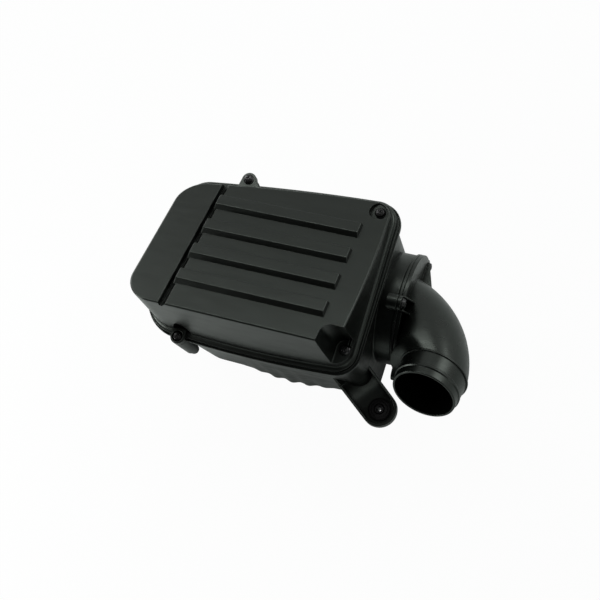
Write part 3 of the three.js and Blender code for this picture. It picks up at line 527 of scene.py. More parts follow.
def post(name, x, y, z0, z1, bottom, top=None, sides=small_sides, top_round=0, bottom_round=0):
    """An upright round between two heights."""
    place = Matrix.Translation((x, y, (z0 + z1) / 2))
    radii = (bottom, bottom if top is None else top)
    return round_bar(name, 2, z0, z1, place, radii, sides, (top_round, bottom_round))


def rod(name, x0, x1, y, z, radius, sides=round_sides, end_round=0, start_round=0):
    """A round along X."""
    place = Matrix.Translation(((x0 + x1) / 2, y, z)) @ lie_along_x
    return round_bar(name, 0, x0, x1, place, (radius, radius), sides, (end_round, start_round))


def rectangle(x0, x1, y0, y1):
    return [(x0, y0), (x1, y0), (x1, y1), (x0, y1)]


def prism(name, points, place, start, end, corners=None, rounding=0):
    """A flat outline pushed from start to end along its own Z, then put in place by a matrix."""
    bm = bmesh.new()
    verts = [bm.verts.new((x, y, start)) for x, y in points]
    bm.faces.new(verts)
    for index, radius in (corners or {}).items():
        round_corner(bm, verts[index], radius)
    push(bm, [max(bm.faces, key=lambda f: f.calc_area())], (0, 0, end - start))
    if rounding:
        rims = [e for height in (end, start) for e in bm.edges
                if all(abs(v.co.z - height) < sink / 100 for v in e.verts)]
        soften(bm, rims, rounding)
    bmesh.ops.transform(bm, matrix=place, verts=bm.verts)
    return new_piece(bm, name)


print("solids ready")

# %% [markdown]
# Boolean modifiers join solids to a base or cut them from it. A finished piece is then cleaned, gets its
# material, and is tied to the body that it moves with, and the measured solid that it replaces is hidden.

# %% Joining, cutting and dressing


def combine(base, how, *tools):
    """Joins tools to base or cuts them from it, then removes them."""
    for tool in tools:
        step = base.modifiers.new(tool.name, "BOOLEAN")
        step.operation = how
        step.solver = "MANIFOLD"
        step.object = tool
    bpy.context.view_layer.update()
    ready = base.evaluated_get(bpy.context.evaluated_depsgraph_get())
    shaped = bpy.data.meshes.new_from_object(ready)
    before = base.data
    base.modifiers.clear()
    base.data = shaped
    bpy.data.meshes.remove(before)
    for tool in tools:
        spent = tool.data
        bpy.data.objects.remove(tool)
        bpy.data.meshes.remove(spent)
    if not len(shaped.polygons):
        raise RuntimeError(base.name + " vanished in a " + how)
    return base


def join(base, *tools):
    return combine(base, "UNION", *tools)


def cut(base, *tools):
    return combine(base, "DIFFERENCE", *tools)


def dressed(piece, finish, body, node):
    bm = bmesh.new()
    bm.from_mesh(piece.data)
    bmesh.ops.remove_doubles(bm, verts=bm.verts, dist=same_point / 4)
    for face in bm.faces:
        face.smooth = True
    for edge in bm.edges:
        edge.smooth = edge.is_manifold and edge.calc_face_angle(0) < sharp_angle
    bm.to_mesh(piece.data)
    bm.free()
    piece.data.name = piece.name
    piece.data.materials.clear()
    piece.data.materials.append(finish)
    weights = piece.modifiers.new("flat_faces_first", "WEIGHTED_NORMAL")
    weights.keep_sharp = True
    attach(piece, body)
    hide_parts(node)
    print(piece.name, len(piece.data.polygons), "faces")
    return piece


print("tools ready")

# %% [markdown]
# A round that stands on any axis comes from a lathe: half of its section is drawn beside the axis and
# spun round it once. Corners of the section can be rounded before the spin, so every edge of the turned
# piece is soft.

# %% Lathe


def lathe(name, section, place, rounds=None, sides=round_sides):
    """Spins a section of (radius, height) points round Z. A section that starts and ends on the axis makes
    a solid, and any other closes on itself and makes a ring."""
    bm = bmesh.new()
    solid = section[0][0] == 0 and section[-1][0] == 0
    verts = [bm.verts.new((r, 0, h)) for r, h in section]
    bm.faces.new(verts)
    for index, radius in (rounds or {}).items():
        round_corner(bm, verts[index], radius)
    face = bm.faces[:][0]
    axis = [e for e in face.edges if solid and all(abs(v.co.x) < 1e-9 for v in e.verts)]
    bmesh.ops.delete(bm, geom=[face], context="FACES_ONLY")
    bmesh.ops.delete(bm, geom=axis, context="EDGES")
    bmesh.ops.spin(bm, geom=bm.verts[:] + bm.edges[:], axis=(0, 0, 1), cent=(0, 0, 0),
                   angle=2 * math.pi, steps=sides, use_merge=True)
    bmesh.ops.remove_doubles(bm, verts=bm.verts, dist=same_point)
    bmesh.ops.transform(bm, matrix=place, verts=bm.verts)
    return new_piece(bm, name)


print("lathe ready")

# %% [markdown]
# ## The lid
# The lid is a wedge: its top is one plane that falls from the near side to the far side. So the top has
# its own frame, and everything on it is drawn in that frame: the groove beside the pad, and the ribs.

# %% Lid sizes
left_reach = 147 * mm
right_near_reach = 141 * mm
right_far_reach = 146 * mm
near_reach = 108.5 * mm
flange_thickness = 4 * mm
lid_foot_plan = plan_of((43, 20, 22, 34), (147, 138.5, 139, 108.5, 86, 109), (7.5, 4.5, 0))
lid_flange_plan = plan_of((48, 25, 27, 39), (152, 142, 145, 113.5, 91, 114), (7.5, 4.5, 0))
lower_flange_plan = plan_of((50, 28, 30, 39), (152, 147, 151, 116.8, 91, 114), (7.5, 4.5, 0))
top_plan = plan_of((35, 12, 20, 35), (145, 134.5, 134.5, 0, 193, 224), (0, 6, 5))
top_left_reach = top_plan["left"]
top_near_reach = 100 * mm
top_round = 2.7 * mm
top_spill = 0.8 * mm  # how far the top's rim stands out, so that its rounding ends at the wall
foot_round = 4.5 * mm  # radius of the hollow root between the lid's wall and its flange
foot_bite = 0.4 * mm  # how far that root reaches into the wall
lid_tilt = math.radians(20.2)
lid_near_height = 88 * mm
top_frame = (
    Matrix.Translation((0, -top_near_reach, parting + lid_near_height)) @ Matrix.Rotation(-lid_tilt, 4, "X")
)


def on_top(rise):
    return lambda x, down: top_frame @ Vector((x, down, rise))


print("lid falls", round(math.degrees(lid_tilt), 1), "degrees")

# %% [markdown]
# The groove is cut by a long bar with the groove's section. Its left upper lip slopes outwards, and that
# lip and the heel of its long slope are rounded, so the groove's edges on the lid are soft. The pocket, the
# recess and the scoop make room for three of the lid's screws.

# %% Groove, pocket, recess and scoop
pad_width = 51.4 * mm
groove_floor = 3.4 * mm
groove_depth = 8 * mm
groove_slope_run = 6.2 * mm
groove_lip = 1.1 * mm
groove_heel = 1.2 * mm
pocket_left = 110.4 * mm
pocket_far = -75.5 * mm
pocket_radius = 12 * mm
pocket_floor = 18 * mm
pocket_edge = 2 * mm
pocket_lean = 8 * mm  # how far the left wall leans in between the top and the floor
pocket_spill = 20 * mm  # how far the pocket's cutter passes the near wall
recess_radius = 13 * mm
recess_flare = 2.5 * mm  # how much wider the recess is at its top
recess_floor = 9 * mm
recess_rim = 2.2 * mm
scoop_radius = 15 * mm
scoop_height = 40 * mm
scoop_shift = 4 * mm  # the scoop lies more to the right than the screw that it clears
lid_screws = [middle_of(f"lid_screw_{i}") for i in range(1, 5)]
near_boss, far_tab, near_corner, far_corner = lid_screws


def groove(grow):
    """The section has X along the ribs and Y off the top plane, and is pushed down the slope."""
    left = pad_width - top_left_reach - grow
    right = left + groove_floor + 2 * grow
    end = right + groove_slope_run
    floor = -groove_depth - grow
    section = [(left - groove_lip, overrun), (left - groove_lip, 0), (left, -groove_lip), (left, floor),
               (right, floor), (end, 0), (end, overrun)]
    return prism("groove", section, top_frame @ swap_y_and_z, -4 * overrun,
                 top_plan["far_right"] + 4 * overrun, {2: 2 * groove_lip, 5: groove_heel})


def pocket(grow):
    bottom = pocket_floor - grow
    top = lid_near_height + 2 * overrun
    lean = pocket_lean / (lid_near_height - pocket_floor)  # per millimetre of height
    left = pocket_left + lean * (lid_near_height - bottom) - grow
    outline = rectangle(left, right_far_reach + 2 * overrun, -near_reach - pocket_spill, pocket_far + grow)
    place = Matrix.Translation((0, 0, parting + bottom)) @ Matrix.Shear("XY", 4, (-lean, 0))
    return prism("pocket", outline, place, 0, top - bottom, {3: pocket_radius + grow}, pocket_edge)


def recess(grow):
    radius = recess_radius + grow
    return post("recess", far_corner.x, far_corner.y, parting + recess_floor - grow,
                parting + lid_near_height, radius, radius + recess_flare, round_sides)


def recess_well():
    """The recess keeps a thin wall between itself and the outside of the lid."""
    within = loft("within", [(inset(lid_foot_plan, recess_rim), level(parting + fit)),
                             (inset(top_plan, recess_rim), on_top(overrun))])
    return combine(recess(0), "INTERSECT", within)


def scoop(grow):
    x, y, radius = near_boss.x, near_boss.y, scoop_radius + grow
    bm = bmesh.new()
    size = Matrix.Diagonal((radius, radius, scoop_height + grow, 1))
    place = Matrix.Translation((x + scoop_shift, y, parting + flange_thickness))
    bmesh.ops.create_uvsphere(bm, u_segments=64, v_segments=48, radius=1, matrix=place @ size)
    below = block("below", x - 2 * radius, x + 2 * radius, y - 2 * radius, y + 2 * radius,
                  parting - scoop_height - 2 * radius, parting + flange_thickness + sink - grow)
    return cut(new_piece(bm, "scoop"), below)


print("lid screws at", [tuple(round(c / mm) for c in s) for s in lid_screws])

# %% [markdown]
# Each rib is a low bar whose near face leans, whose far face stands, and whose ends slope. A cube is
# scaled to the rib's foot, its upper points are drawn in, and every edge is rounded.

# %% Ribs
rib_count = 4
rib_height = 6 * mm
rib_near_run = 5.4 * mm
rib_flat = 16.3 * mm
rib_far_run = 2 * mm
rib_end_run = 2.2 * mm
rib_edge = 1.1 * mm
first_rib_foot = 32.2 * mm
rib_pitch = 42 * mm
rib_ends = (57 * mm - top_left_reach, 255 * mm - top_left_reach)


def rib(index):
    near = first_rib_foot + index * rib_pitch
    far = near + rib_near_run + rib_flat + rib_far_run
    left, right = rib_ends
    bm = bmesh.new()
    size = Matrix.Diagonal((right - left, far - near, rib_height + sink, 1))
    place = Matrix.Translation(((left + right) / 2, (near + far) / 2, (rib_height - sink) / 2))
    bmesh.ops.create_cube(bm, size=1, matrix=place @ size)
    for v in bm.verts:
        if v.co.z > 0:
            v.co.x += rib_end_run if v.co.x < 0 else -rib_end_run
            v.co.y += rib_near_run if v.co.y < (near + far) / 2 else -rib_far_run
    soften(bm, [e for e in bm.edges if any(v.co.z > 0 for v in e.verts)], rib_edge)
    bmesh.ops.transform(bm, matrix=top_frame, verts=bm.verts)
    return new_piece(bm, f"rib_{index + 1}")


print("ribs every", round(rib_pitch / mm), "mm")

# %% [markdown]
# The flange is the plan pushed up by its thickness. On the real lid a shallow channel runs along its upper
# face, which shows as two fine parallel lines, so the upper face is inset twice and its middle band sunk.

# %% Flanges
channel_depth = 0.9 * mm
channel_width = 1.3 * mm
channel_from_edge = 1.7 * mm
channel_side = 0.25 * mm
flange_edge = 0.6 * mm


def flange(name, plan, low, high, channel=False):
    bm = bmesh.new()
    plan_face(bm, plan, level(low))
    push(bm, bm.faces[:], (0, 0, high - low))
    bmesh.ops.recalc_face_normals(bm, faces=bm.faces)
    if channel:
        top = max(bm.faces, key=lambda f: f.calc_center_median().z)
        for width in (channel_from_edge, channel_width):
            band = bmesh.ops.inset_region(bm, faces=[top], thickness=width, use_even_offset=True)["faces"]
        ring = [f for f in band if f is not top]
        bmesh.ops.inset_region(bm, faces=ring, thickness=channel_side, use_even_offset=True)
        bmesh.ops.translate(bm, verts=list({v for f in ring for v in f.verts}), vec=(0, 0, -channel_depth))
    rim = [e for e in bm.edges if all(abs(v.co.z - high) < sink / 100 for v in e.verts)
           and any(abs(f.normal.z) < 0.5 for f in e.link_faces)]
    soften(bm, rim, flange_edge)
    return new_piece(bm, name)


print("channel", round(channel_width / mm, 1), "mm wide")

# %% [markdown]
# The lid's outer shape and its hollow are two lofts. The groove, the pocket and the scoop are cut from
# both, but from the hollow they are cut one wall larger, so that the plastic keeps its thickness
# everywhere. The flange, the ear, the tab and the ribs are joined on, and the screw holes come last.

# %% Lid
inlet_middle = -50 * mm
inlet_half = 30 * mm
inlet_height = 26 * mm
inlet_bottom = 8 * mm
inlet_reach = 7 * mm
inlet_edge = 1.5 * mm
tab_radius = 10 * mm
tab_left, tab_right = 14 * mm, 34 * mm  # how far the tab's root spreads to each side
tab_edge = 0.7 * mm
washer_radius = 7 * mm
ear_drop = 0.7 * mm  # how far the ear lies below its ring
ear_edge = 0.6 * mm
ear_ring_radius = washer_radius + 1.5 * mm
ear_ring_height = 2 * mm
ear_ring_edge = 0.4 * mm
hole_radius = 2.6 * mm + fit
hole_reach = 40 * mm
lid_post_wall = 4.9 * mm
boss_cup = 4 * mm
corner_rib_width, corner_rib_length, corner_rib_height = 1.6 * mm, 8 * mm, 6 * mm
corner_rib_edge = 0.5 * mm
root_steps = 7
filter_low, filter_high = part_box("filter_frame")
grip = 8 * mm
nearly = 0.999  # a corner's radius just short of half a width, so that two such corners don't meet


def tab(name, z0, z1):
    x, y = far_tab.x, far_tab.y
    root = y - 2 * tab_radius
    steps = small_sides // 2
    arc = [(x + tab_radius * math.cos(math.pi * i / steps), y + tab_radius * math.sin(math.pi * i / steps))
           for i in range(steps + 1)]
    outline = [(x - tab_left, root), (x + tab_right, root), *arc]
    return prism(name, outline, Matrix(), z0, z1, None, tab_edge)


def near_ear(z0, z1):
    """A block with two square corners against the wall and a round nose, with a raised ring on it."""
    x, y = near_boss.x, near_boss.y
    radius = washer_radius + wall
    outline = rectangle(x - radius, x + radius, y - radius, y + 1.1 * radius)
    nose = nearly * radius
    ear = prism("ear", outline, Matrix(), z0, z1 - ear_drop, {0: nose, 1: nose}, ear_edge)
    return join(ear, post("ear_ring", x, y, z1 - ear_ring_height, z1, ear_ring_radius,
                          sides=2 * small_sides, top_round=ear_ring_edge))


def filter_box(name, grow, z0, z1):
    """A box round the filter, larger by grow on all four sides."""
    return block(name, filter_low.x - grow, filter_high.x + grow, filter_low.y - grow, filter_high.y + grow,
                 z0, z1)


def inlet_bar(name, grow, x0, x1, rounding=0):
    low = parting + inlet_bottom - grow
    half = inlet_half + grow
    return block(name, x0, x1, inlet_middle - half, inlet_middle + half, low, low + inlet_height + 2 * grow,
                 rounding)


def corner_ribs():
    floor = parting + pocket_floor
    for i in range(2):
        x = right_near_reach - 8.6 * mm + i * 2 * corner_rib_width
        yield block(f"corner_rib_{i}", x, x + corner_rib_width, pocket_far - corner_rib_length,
                    pocket_far + sink, floor - sink, floor + corner_rib_height, corner_rib_edge)


def wall_root(flange_top):
    """The hollow round between the wall and the flange, as a stack of outlines that draw in."""
    sections = [(inset(lid_foot_plan, -foot_round), level(flange_top - sink))]
    for step in range(root_steps):
        angle = math.pi / 2 * step / (root_steps - 1)
        lip = foot_round * (1 - math.sin(angle))
        rise = foot_round * (1 - math.cos(angle))
        sections.append((inset(lid_foot_plan, foot_bite - lip), level(flange_top + rise)))
    return loft("wall_root", sections)


def make_lid():
    foot = parting + fit
    flange_top = parting + flange_thickness
    cup_top = flange_top + sink + boss_cup
    inlet_end = -left_reach - inlet_reach
    inner = loft("lid_hollow", [(inset(lid_foot_plan, wall), level(foot + flange_thickness)),
                                (inset(top_plan, wall), on_top(-wall))])
    hollow = cut(inner, groove(wall), pocket(wall), recess(wall), scoop(wall))
    outer = [(lid_foot_plan, level(foot)), (inset(top_plan, -top_spill), on_top(0))]
    lid = join(loft("lid_shell", outer, top_round), wall_root(flange_top))
    cut(lid, groove(0), pocket(0), scoop(0))
    cut(lid, hollow)
    posts = [post(f"lid_post_{i}", s.x, s.y, foot, parting + floor - sink, hole_radius + lid_post_wall)
             for i, (s, floor) in enumerate(((near_corner, pocket_floor), (far_corner, recess_floor)))]
    join(lid, flange("lid_flange", lid_flange_plan, foot, flange_top), near_ear(foot, cup_top),
         tab("lid_tab", foot, flange_top + sink),
         inlet_bar("stub", wall, inlet_end, -top_left_reach + 2 * wall, inlet_edge),
         *posts, *corner_ribs(), *[rib(i) for i in range(rib_count)])
    holes = [post(f"hole_{i}", s.x, s.y, foot - overrun, parting + hole_reach, hole_radius)
             for i, s in enumerate(lid_screws)]
    cut(lid, recess_well(), inlet_bar("stub_bore", 0, inlet_end - overrun, -top_left_reach + 4 * wall),
        post("cup", near_boss.x, near_boss.y, flange_top + sink, cup_top + overrun, washer_radius + fit),
        filter_box("filter_way", -grip, foot - overrun, flange_top + overrun), *holes)
    return dressed(lid, lid_plastic, "cover", "lid")


make_lid()

# %% [markdown]
# ## The lower housing
# The lower housing is a deep tray. Its walls lean in towards the base, the near wall swells into a row of
# flutes that stiffen it, and a round collar on the right wall carries the elbow. It is lofted between two
# outlines, and each boss, flute and plate is joined to it before the hollow is cut.

# %% Lower housing sizes
lower_plan = plan_of((43, 20, 31, 34), (147, 141, 146, 108.5, 86, 109), (7.5, 4.5, 0))
base_plan = plan_of((43, 20, 31, 34), (137, 141, 146, 103.5, 80, 103), (1, 4.5, 0))
base_edge = 4 * mm
flute_pitch = 25.3 * mm
flute_rise = 3 * mm
flute_length = 95 * mm
first_flute = -58 * mm
last_flute = 94 * mm
wave_bow = 5 * mm
wave_sink = 0.4 * mm
wave_depth = 2.4 * mm
collar_end = 170 * mm
collar_y = 8 * mm
collar_z = parting - 103 * mm
collar_radius = 75.5 * mm
collar_rim_radius = 77.5 * mm
collar_rim = 5 * mm
collar_bore = 60 * mm
collar_root = 2 * mm  # radius of the soft root between the collar and the wall
collar_step = 1.2 * mm  # how far that root stands off the wall
body_y = collar_y - 8 * mm  # the elbow's body stands off the middle of its flange
body_z = collar_z + 8 * mm
plate_edge = 0.8 * mm
ear_radius = 10 * mm
ear_reach = 79 * mm
ear_boss_length = 14 * mm
ears = [middle_of(f"elbow_screw_{i}") for i in range(1, 4)]
ear_angles = [math.atan2(ear.z - body_z, ear.y - body_y) for ear in ears]
print("ears at", [round(math.degrees(a)) for a in ear_angles], "degrees round the collar")

# %% Collar, ears and flutes


def ear_round(name, angle, x0, x1, rounding=plate_edge):
    """The round end of a plate that stands out from the collar at an angle."""
    return rod(name, x0, x1, body_y + ear_reach * math.cos(angle), body_z + ear_reach * math.sin(angle),
               ear_radius, 2 * small_sides, rounding, rounding)


def ear_plate(name, angle, x0, x1):
    bm = bmesh.new()
    size = Matrix.Diagonal((x1 - x0, 2 * ear_radius, 2 * ear_radius, 1))
    place = (
        Matrix.Translation((0, body_y, body_z)) @ Matrix.Rotation(angle, 4, "X")
        @ Matrix.Translation(((x0 + x1) / 2, ear_reach - ear_radius, 0))
    )
    bmesh.ops.create_cube(bm, size=1, matrix=place @ size)
    soften(bm, list(bm.edges), plate_edge / 2)
    return join(ear_round(name, angle, x0, x1), new_piece(bm, name + "_root"))


def collar():
    start = right_near_reach - 2 * wall
    foot = right_near_reach + collar_step
    rim = collar_end - collar_rim
    section = [
        (0, start), (collar_radius + collar_root, start), (collar_radius + collar_root, foot),
        (collar_radius, foot), (collar_radius, rim), (collar_rim_radius, rim + 1.5 * mm),
        (collar_rim_radius, collar_end), (0, collar_end),
    ]
    place = Matrix.Translation((0, collar_y, collar_z)) @ lie_along_x
    barrel = lathe("collar", section, place, {3: 0.96 * collar_root, 6: plate_edge})
    return join(barrel, *[ear_plate(f"boss_{i}", angle, collar_end - ear_boss_length, collar_end)
                          for i, angle in enumerate(ear_angles)])


def near_waves():
    """A panel in front of the near wall that swells into waves towards the base."""
    start, end = first_flute - flute_pitch / 2, last_flute + flute_pitch / 2
    bm = bmesh.new()
    bmesh.ops.create_grid(bm, x_segments=140, y_segments=24, size=1)
    for v in bm.verts:
        x = start + (end - start) * (v.co.x + 1) / 2
        z = flute_length * (v.co.y + 1) / 2
        low = bow_shift(base_plan, x, -base_plan["near"]).y - base_plan["near"]
        high = bow_shift(lower_plan, x, -near_reach).y - near_reach
        face = low + (high - low) * z / parting
        fade = 1 - z / flute_length
        across = (2 * x - start - end) / (end - start)
        wave = (1 + math.cos(2 * math.pi * (x - first_flute) / flute_pitch)) / 2
        tuck = base_edge * max(0, 1 - z / base_edge) ** 2
        out = fade * (flute_rise * wave + wave_bow) * (1 - across * across) ** 2 - tuck
        v.co = (x, face - out + wave_sink, z)
    push(bm, bm.faces[:], (0, wave_depth, 0))
    return new_piece(bm, "near_waves")


print("flutes every", round(flute_pitch / mm, 1), "mm")

# %% [markdown]
# The foot is a tray on legs: a round-ended floor with a low rim, two tall webs that run up to the wall, and
# a hole for the rubber grommet. Its floor runs up to the wall in a wide hollow round. It points out of the
# near right corner, so it is made straight and turned into place.

# %% Foot
grommet = middle_of("foot_grommet")
foot_turn = Matrix.Translation((grommet.x, grommet.y, 0)) @ Matrix.Rotation(math.radians(-38), 4, "Z")
foot_radius = 24 * mm
foot_length = 60 * mm
foot_top = parting - 130 * mm
foot_floor = 4 * mm
foot_bottom = foot_top - foot_floor
foot_wall = 3.4 * mm
foot_rim = 9 * mm
foot_edge = 1.2 * mm
web_round = 14 * mm
web_edge = 0.8 * mm
cove_depth = 16 * mm  # how far the round below the wall reaches out over the floor
cove_height = 46 * mm
cove_round = 34 * mm
grommet_waist = 11 * mm


def foot_plate(name, radius, z0, z1, rounding=0):
    outline = rectangle(-foot_length, radius, -radius, radius)
    return prism(name, outline, foot_turn, z0, z1, {1: nearly * radius, 2: nearly * radius}, rounding)


def foot_upright(name, outline, start, end, corners, rounding=0):
    """An outline of lengths and heights along the foot, pushed across it."""
    return prism(name, outline, foot_turn @ swap_y_and_z, start, end, corners, rounding)


def foot_web(name, side, rise):
    outline = [(-foot_length, foot_bottom), (foot_radius / 2, foot_bottom), (foot_radius / 2, foot_top),
               (0, foot_top + foot_rim), (-foot_length, foot_top + rise)]
    return foot_upright(name, outline, side, side + foot_wall, {3: web_round}, web_edge)


def foot_cove():
    back, step, root, top = -foot_length, cove_depth - foot_length, foot_top - sink, foot_top + cove_height
    outline = [(back, root), (0, root), (0, foot_top), (step, foot_top), (step, top), (back, top)]
    side = foot_radius - foot_wall + sink
    return foot_upright("cove", outline, -side, side, {3: cove_round})


def foot():
    tray = foot_plate("foot", foot_radius, foot_bottom, foot_top + foot_rim, foot_edge)
    cut(tray, foot_plate("tray", foot_radius - foot_wall, foot_top, foot_top + foot_rim + overrun, 2 * mm))
    join(tray, foot_web("web_near", -foot_radius, 52 * mm),
         foot_web("web_far", foot_radius - foot_wall, 66 * mm), foot_cove())
    combine(tray, "INTERSECT", foot_plate("outside", foot_radius, foot_bottom - overrun, parting))
    return cut(tray, post("grommet_hole", grommet.x, grommet.y, foot_bottom - overrun, foot_top + overrun,
                          grommet_waist + fit, sides=2 * small_sides))


print("foot hole at", round(grommet.x / mm, 1), round(grommet.y / mm, 1))

# %% [markdown]
# Inside, the tray carries the filter on a ledge, and each screw has a boss with a seat for its brass
# insert. What is cut last, such as the seats and the groove for the seal, opens into the finished walls.

# %% Lower housing
boss_length = 48 * mm
boss_tip_length = 12 * mm
boss_tip_radius = 6.6 * mm
boss_edge = 1.5 * mm
boss_web_reach = 2 * wall + 5 * mm
insert_radius = hole_radius + 1.7 * mm
insert_length = 10 * mm
insert_room = insert_length + 2 * fit
tip_room = 15 * mm
boss_radius = insert_radius + fit + 3.2 * mm
corner_boss_length = 22 * mm
seal_outer, seal_inner = 66.5 * mm + fit, 63.5 * mm - fit


def seat(x, y):
    top = post("insert_seat", x, y, parting - insert_room, parting + overrun, insert_radius + fit)
    return join(top, post("tip_seat", x, y, parting - tip_room, parting, hole_radius))


def seal_groove():
    x0, x1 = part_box("elbow_seal")[0].x - fit, collar_end + overrun
    outer = rod("seal_groove", x0, x1, body_y, body_z, seal_outer)
    return cut(outer, rod("seal_core", x0 - overrun, x1 + overrun, body_y, body_z, seal_inner))


def make_lower_housing():
    ledge_top = filter_low.z - fit
    ledge = ledge_top - wall
    top = parting + overrun
    x, y = near_boss.x, near_boss.y
    boss_foot = parting - boss_length
    radius = washer_radius + wall
    bosses = [
        post("boss", x, y, boss_foot, parting, radius - sink, radius, bottom_round=1.2 * mm),
        post("boss_tip", x, y, boss_foot - boss_tip_length, boss_foot + sink, boss_tip_radius,
             bottom_round=boss_edge),
        block("boss_web", x - wall / 2, x + wall / 2, y, boss_web_reach - near_reach, boss_foot, parting),
        tab("lower_tab", parting - flange_thickness, parting),
        post("tab_boss", far_tab.x, far_tab.y, parting - corner_boss_length, parting, boss_radius,
             bottom_round=boss_edge),
    ]
    hollow = loft("hollow", [
        (inset(between(base_plan, lower_plan, wall / parting), wall), level(wall)),
        (inset(lower_plan, wall), level(parting - flange_thickness)),
    ], 0, base_edge)
    corner_bosses = [post(f"corner_boss_{i}", s.x, s.y, parting - corner_boss_length, top, boss_radius,
                          bottom_round=boss_edge) for i, s in enumerate((near_corner, far_corner))]
    cut(hollow, *corner_bosses, filter_box("guide_room", fit + wall, ledge, top))
    body = loft("lower_shell", [(base_plan, level(0)), (lower_plan, level(parting))], 0, base_edge)
    rim = flange("lower_flange", lower_flange_plan, parting - flange_thickness, parting, True)
    join(body, rim, *bosses, collar(), foot(), near_waves())
    cut(body, block("ground", -2 * left_reach, 2 * collar_end, -2 * near_reach, 2 * near_reach, -0.1, 0))
    cut(body, hollow, rod("bore", right_near_reach - 8 * wall, collar_end + overrun, body_y, body_z,
                          collar_bore))
    filter_room = filter_box("filter_room", fit, ledge_top, top)
    seats = [seat(s.x, s.y) for s in lid_screws]
    side_seats = [rod(f"side_seat_{i}", collar_end - insert_room, collar_end + overrun, e.y, e.z,
                      insert_radius + fit, small_sides) for i, e in enumerate(ears)]
    cut(body, filter_room, filter_box("filter_way", -grip, ledge - overrun, top), seal_groove(), *seats,
        *side_seats)
    guide = filter_box("guide", fit + wall, ledge, parting)
    cut(guide, filter_box("guide_hollow", fit, ledge_top, top),
        filter_box("filter_way", -grip, ledge - overrun, top))
    return dressed(join(body, guide), lower_plastic, "housing", "lower_housing")


make_lower_housing()

# %% [markdown]
# ## The elbow
# The elbow turns the air by about eighty degrees. All its cross sections stand on planes through one
# hinge line, like the pages of an opened book, so one circle is extruded ring by ring and turned round
# that line, while its radius and its distance from the line change a little at every step.

# %% Elbow sizes
elbow_start = collar_end + fit
elbow_wall = 3 * mm
lug_angle = math.radians(182)
lug_thickness = 7 * mm
mouth = Vector((227.2 * mm, -108.6 * mm, parting - 37.7 * mm))
mouth_rise = math.radians(26.3)
mouth_yaw = math.radians(5.4)
mouth_ahead = Vector((-math.sin(mouth_yaw) * math.cos(mouth_rise),
                      -math.cos(mouth_yaw) * math.cos(mouth_rise), math.sin(mouth_rise)))
mouth_radius = 41 * mm
bead_back = 34.8 * mm
bead_radius = 45.1 * mm
bead_width = 3 * mm
hose_ring_back = 12 * mm
hose_ring_rise = 1.3 * mm
hose_ring_width = 5 * mm
body_radius = 52 * mm
bend_radius = 51.5 * mm
neck_radius = 44 * mm
neck_after_bead = 43.4 * mm
bend_reach = 54 * mm
bend_steps = 28
along_x = Vector((1, 0, 0))
bead_middle = mouth - mouth_ahead * bead_back
hinge_axis = along_x.cross(mouth_ahead).normalized()
bend_turn = along_x.angle(mouth_ahead)
bead_out = mouth_ahead.cross(hinge_axis)
hinge = bead_middle + bead_out * ((elbow_start - bead_middle.x) / bead_out.x)
flange_out = along_x.cross(hinge_axis)
from_hinge = Vector((elbow_start, body_y, body_z)) - hinge
print("elbow turns", round(math.degrees(bend_turn), 1), "degrees")

# %% Elbow body


def through(start, middle, end, share):
    """A value that runs from start to end through a middle value half way."""
    return (start * (1 - share) * (1 - 2 * share) + 4 * middle * share * (1 - share)
            + end * share * (2 * share - 1))


def bend_ring(share, inward):
    """Puts a unit circle where the bend's ring stands."""
    ahead = Matrix.Rotation(bend_turn * share, 3, hinge_axis) @ along_x
    out = ahead.cross(hinge_axis)
    reach = through(from_hinge.dot(flange_out), bend_reach, (bead_middle - hinge).length, share)
    along = from_hinge.dot(hinge_axis) * (1 - share)
    centre = hinge + out * reach + hinge_axis * along
    radius = through(body_radius, bend_radius, neck_radius, share) - inward
    turned = Matrix((hinge_axis, out, ahead)).transposed().to_4x4()
    return Matrix.Translation(centre) @ turned @ Matrix.Scale(radius, 4)


def bend(name, inward):
    bm = bmesh.new()
    place = bend_ring(0, inward)
    bmesh.ops.create_circle(bm, cap_ends=False, segments=round_sides, radius=1, matrix=place)
    front = list(bm.edges)
    for step in range(1, bend_steps + 1):
        grown = bmesh.ops.extrude_edge_only(bm, edges=front)["geom"]
        front = [g for g in grown if isinstance(g, bmesh.types.BMEdge)]
        points = [g for g in grown if isinstance(g, bmesh.types.BMVert)]
        following = bend_ring(step / bend_steps, inward)
        bmesh.ops.transform(bm, matrix=following @ place.inverted(), verts=points)
        place = following
    bmesh.ops.holes_fill(bm, edges=[e for e in bm.edges if e.is_boundary], sides=0)
    return new_piece(bm, name)


print("bend has", bend_steps + 1, "rings")

# %% [markdown]
# The neck is turned on the lathe and set in the mouth's direction. Its section runs from the bead, which
# stops the hose, over a low ring, which holds it, to the rounded rim. Two fins stiffen each screw ear.

# %% Neck and fins
mouth_turn = Vector((0, 0, 1)).rotation_difference(mouth_ahead)
neck_place = Matrix.Translation(mouth) @ mouth_turn.to_matrix().to_4x4()
bead_front, bead_behind = bead_back - bead_width / 2, bead_back + bead_width / 2
mouth_flare = 1.2 * mm


def neck_radius_at(back):
    return mouth_radius + (neck_after_bead - mouth_radius) * back / bead_front


def neck():
    lip = bead_width / 5
    ring = hose_ring_width / 4
    back, top = hose_ring_back, neck_radius_at(hose_ring_back) + hose_ring_rise
    section = [
        (0, -bead_back - sink), (neck_radius, -bead_back - sink), (neck_radius, -bead_behind),
        (bead_radius - lip, -bead_behind), (bead_radius, lip - bead_behind), (bead_radius, -bead_front),
        (neck_after_bead, -bead_front), (neck_radius_at(back + 2 * ring), -back - 2 * ring),
        (top, -back - ring), (top, ring - back), (neck_radius_at(back - 2 * ring), 2 * ring - back),
        (mouth_radius, 0), (0, 0),
    ]
    return lathe("neck", section, neck_place, {4: lip * 0.6, 5: 0.5 * mm, 11: 1.1 * mm})


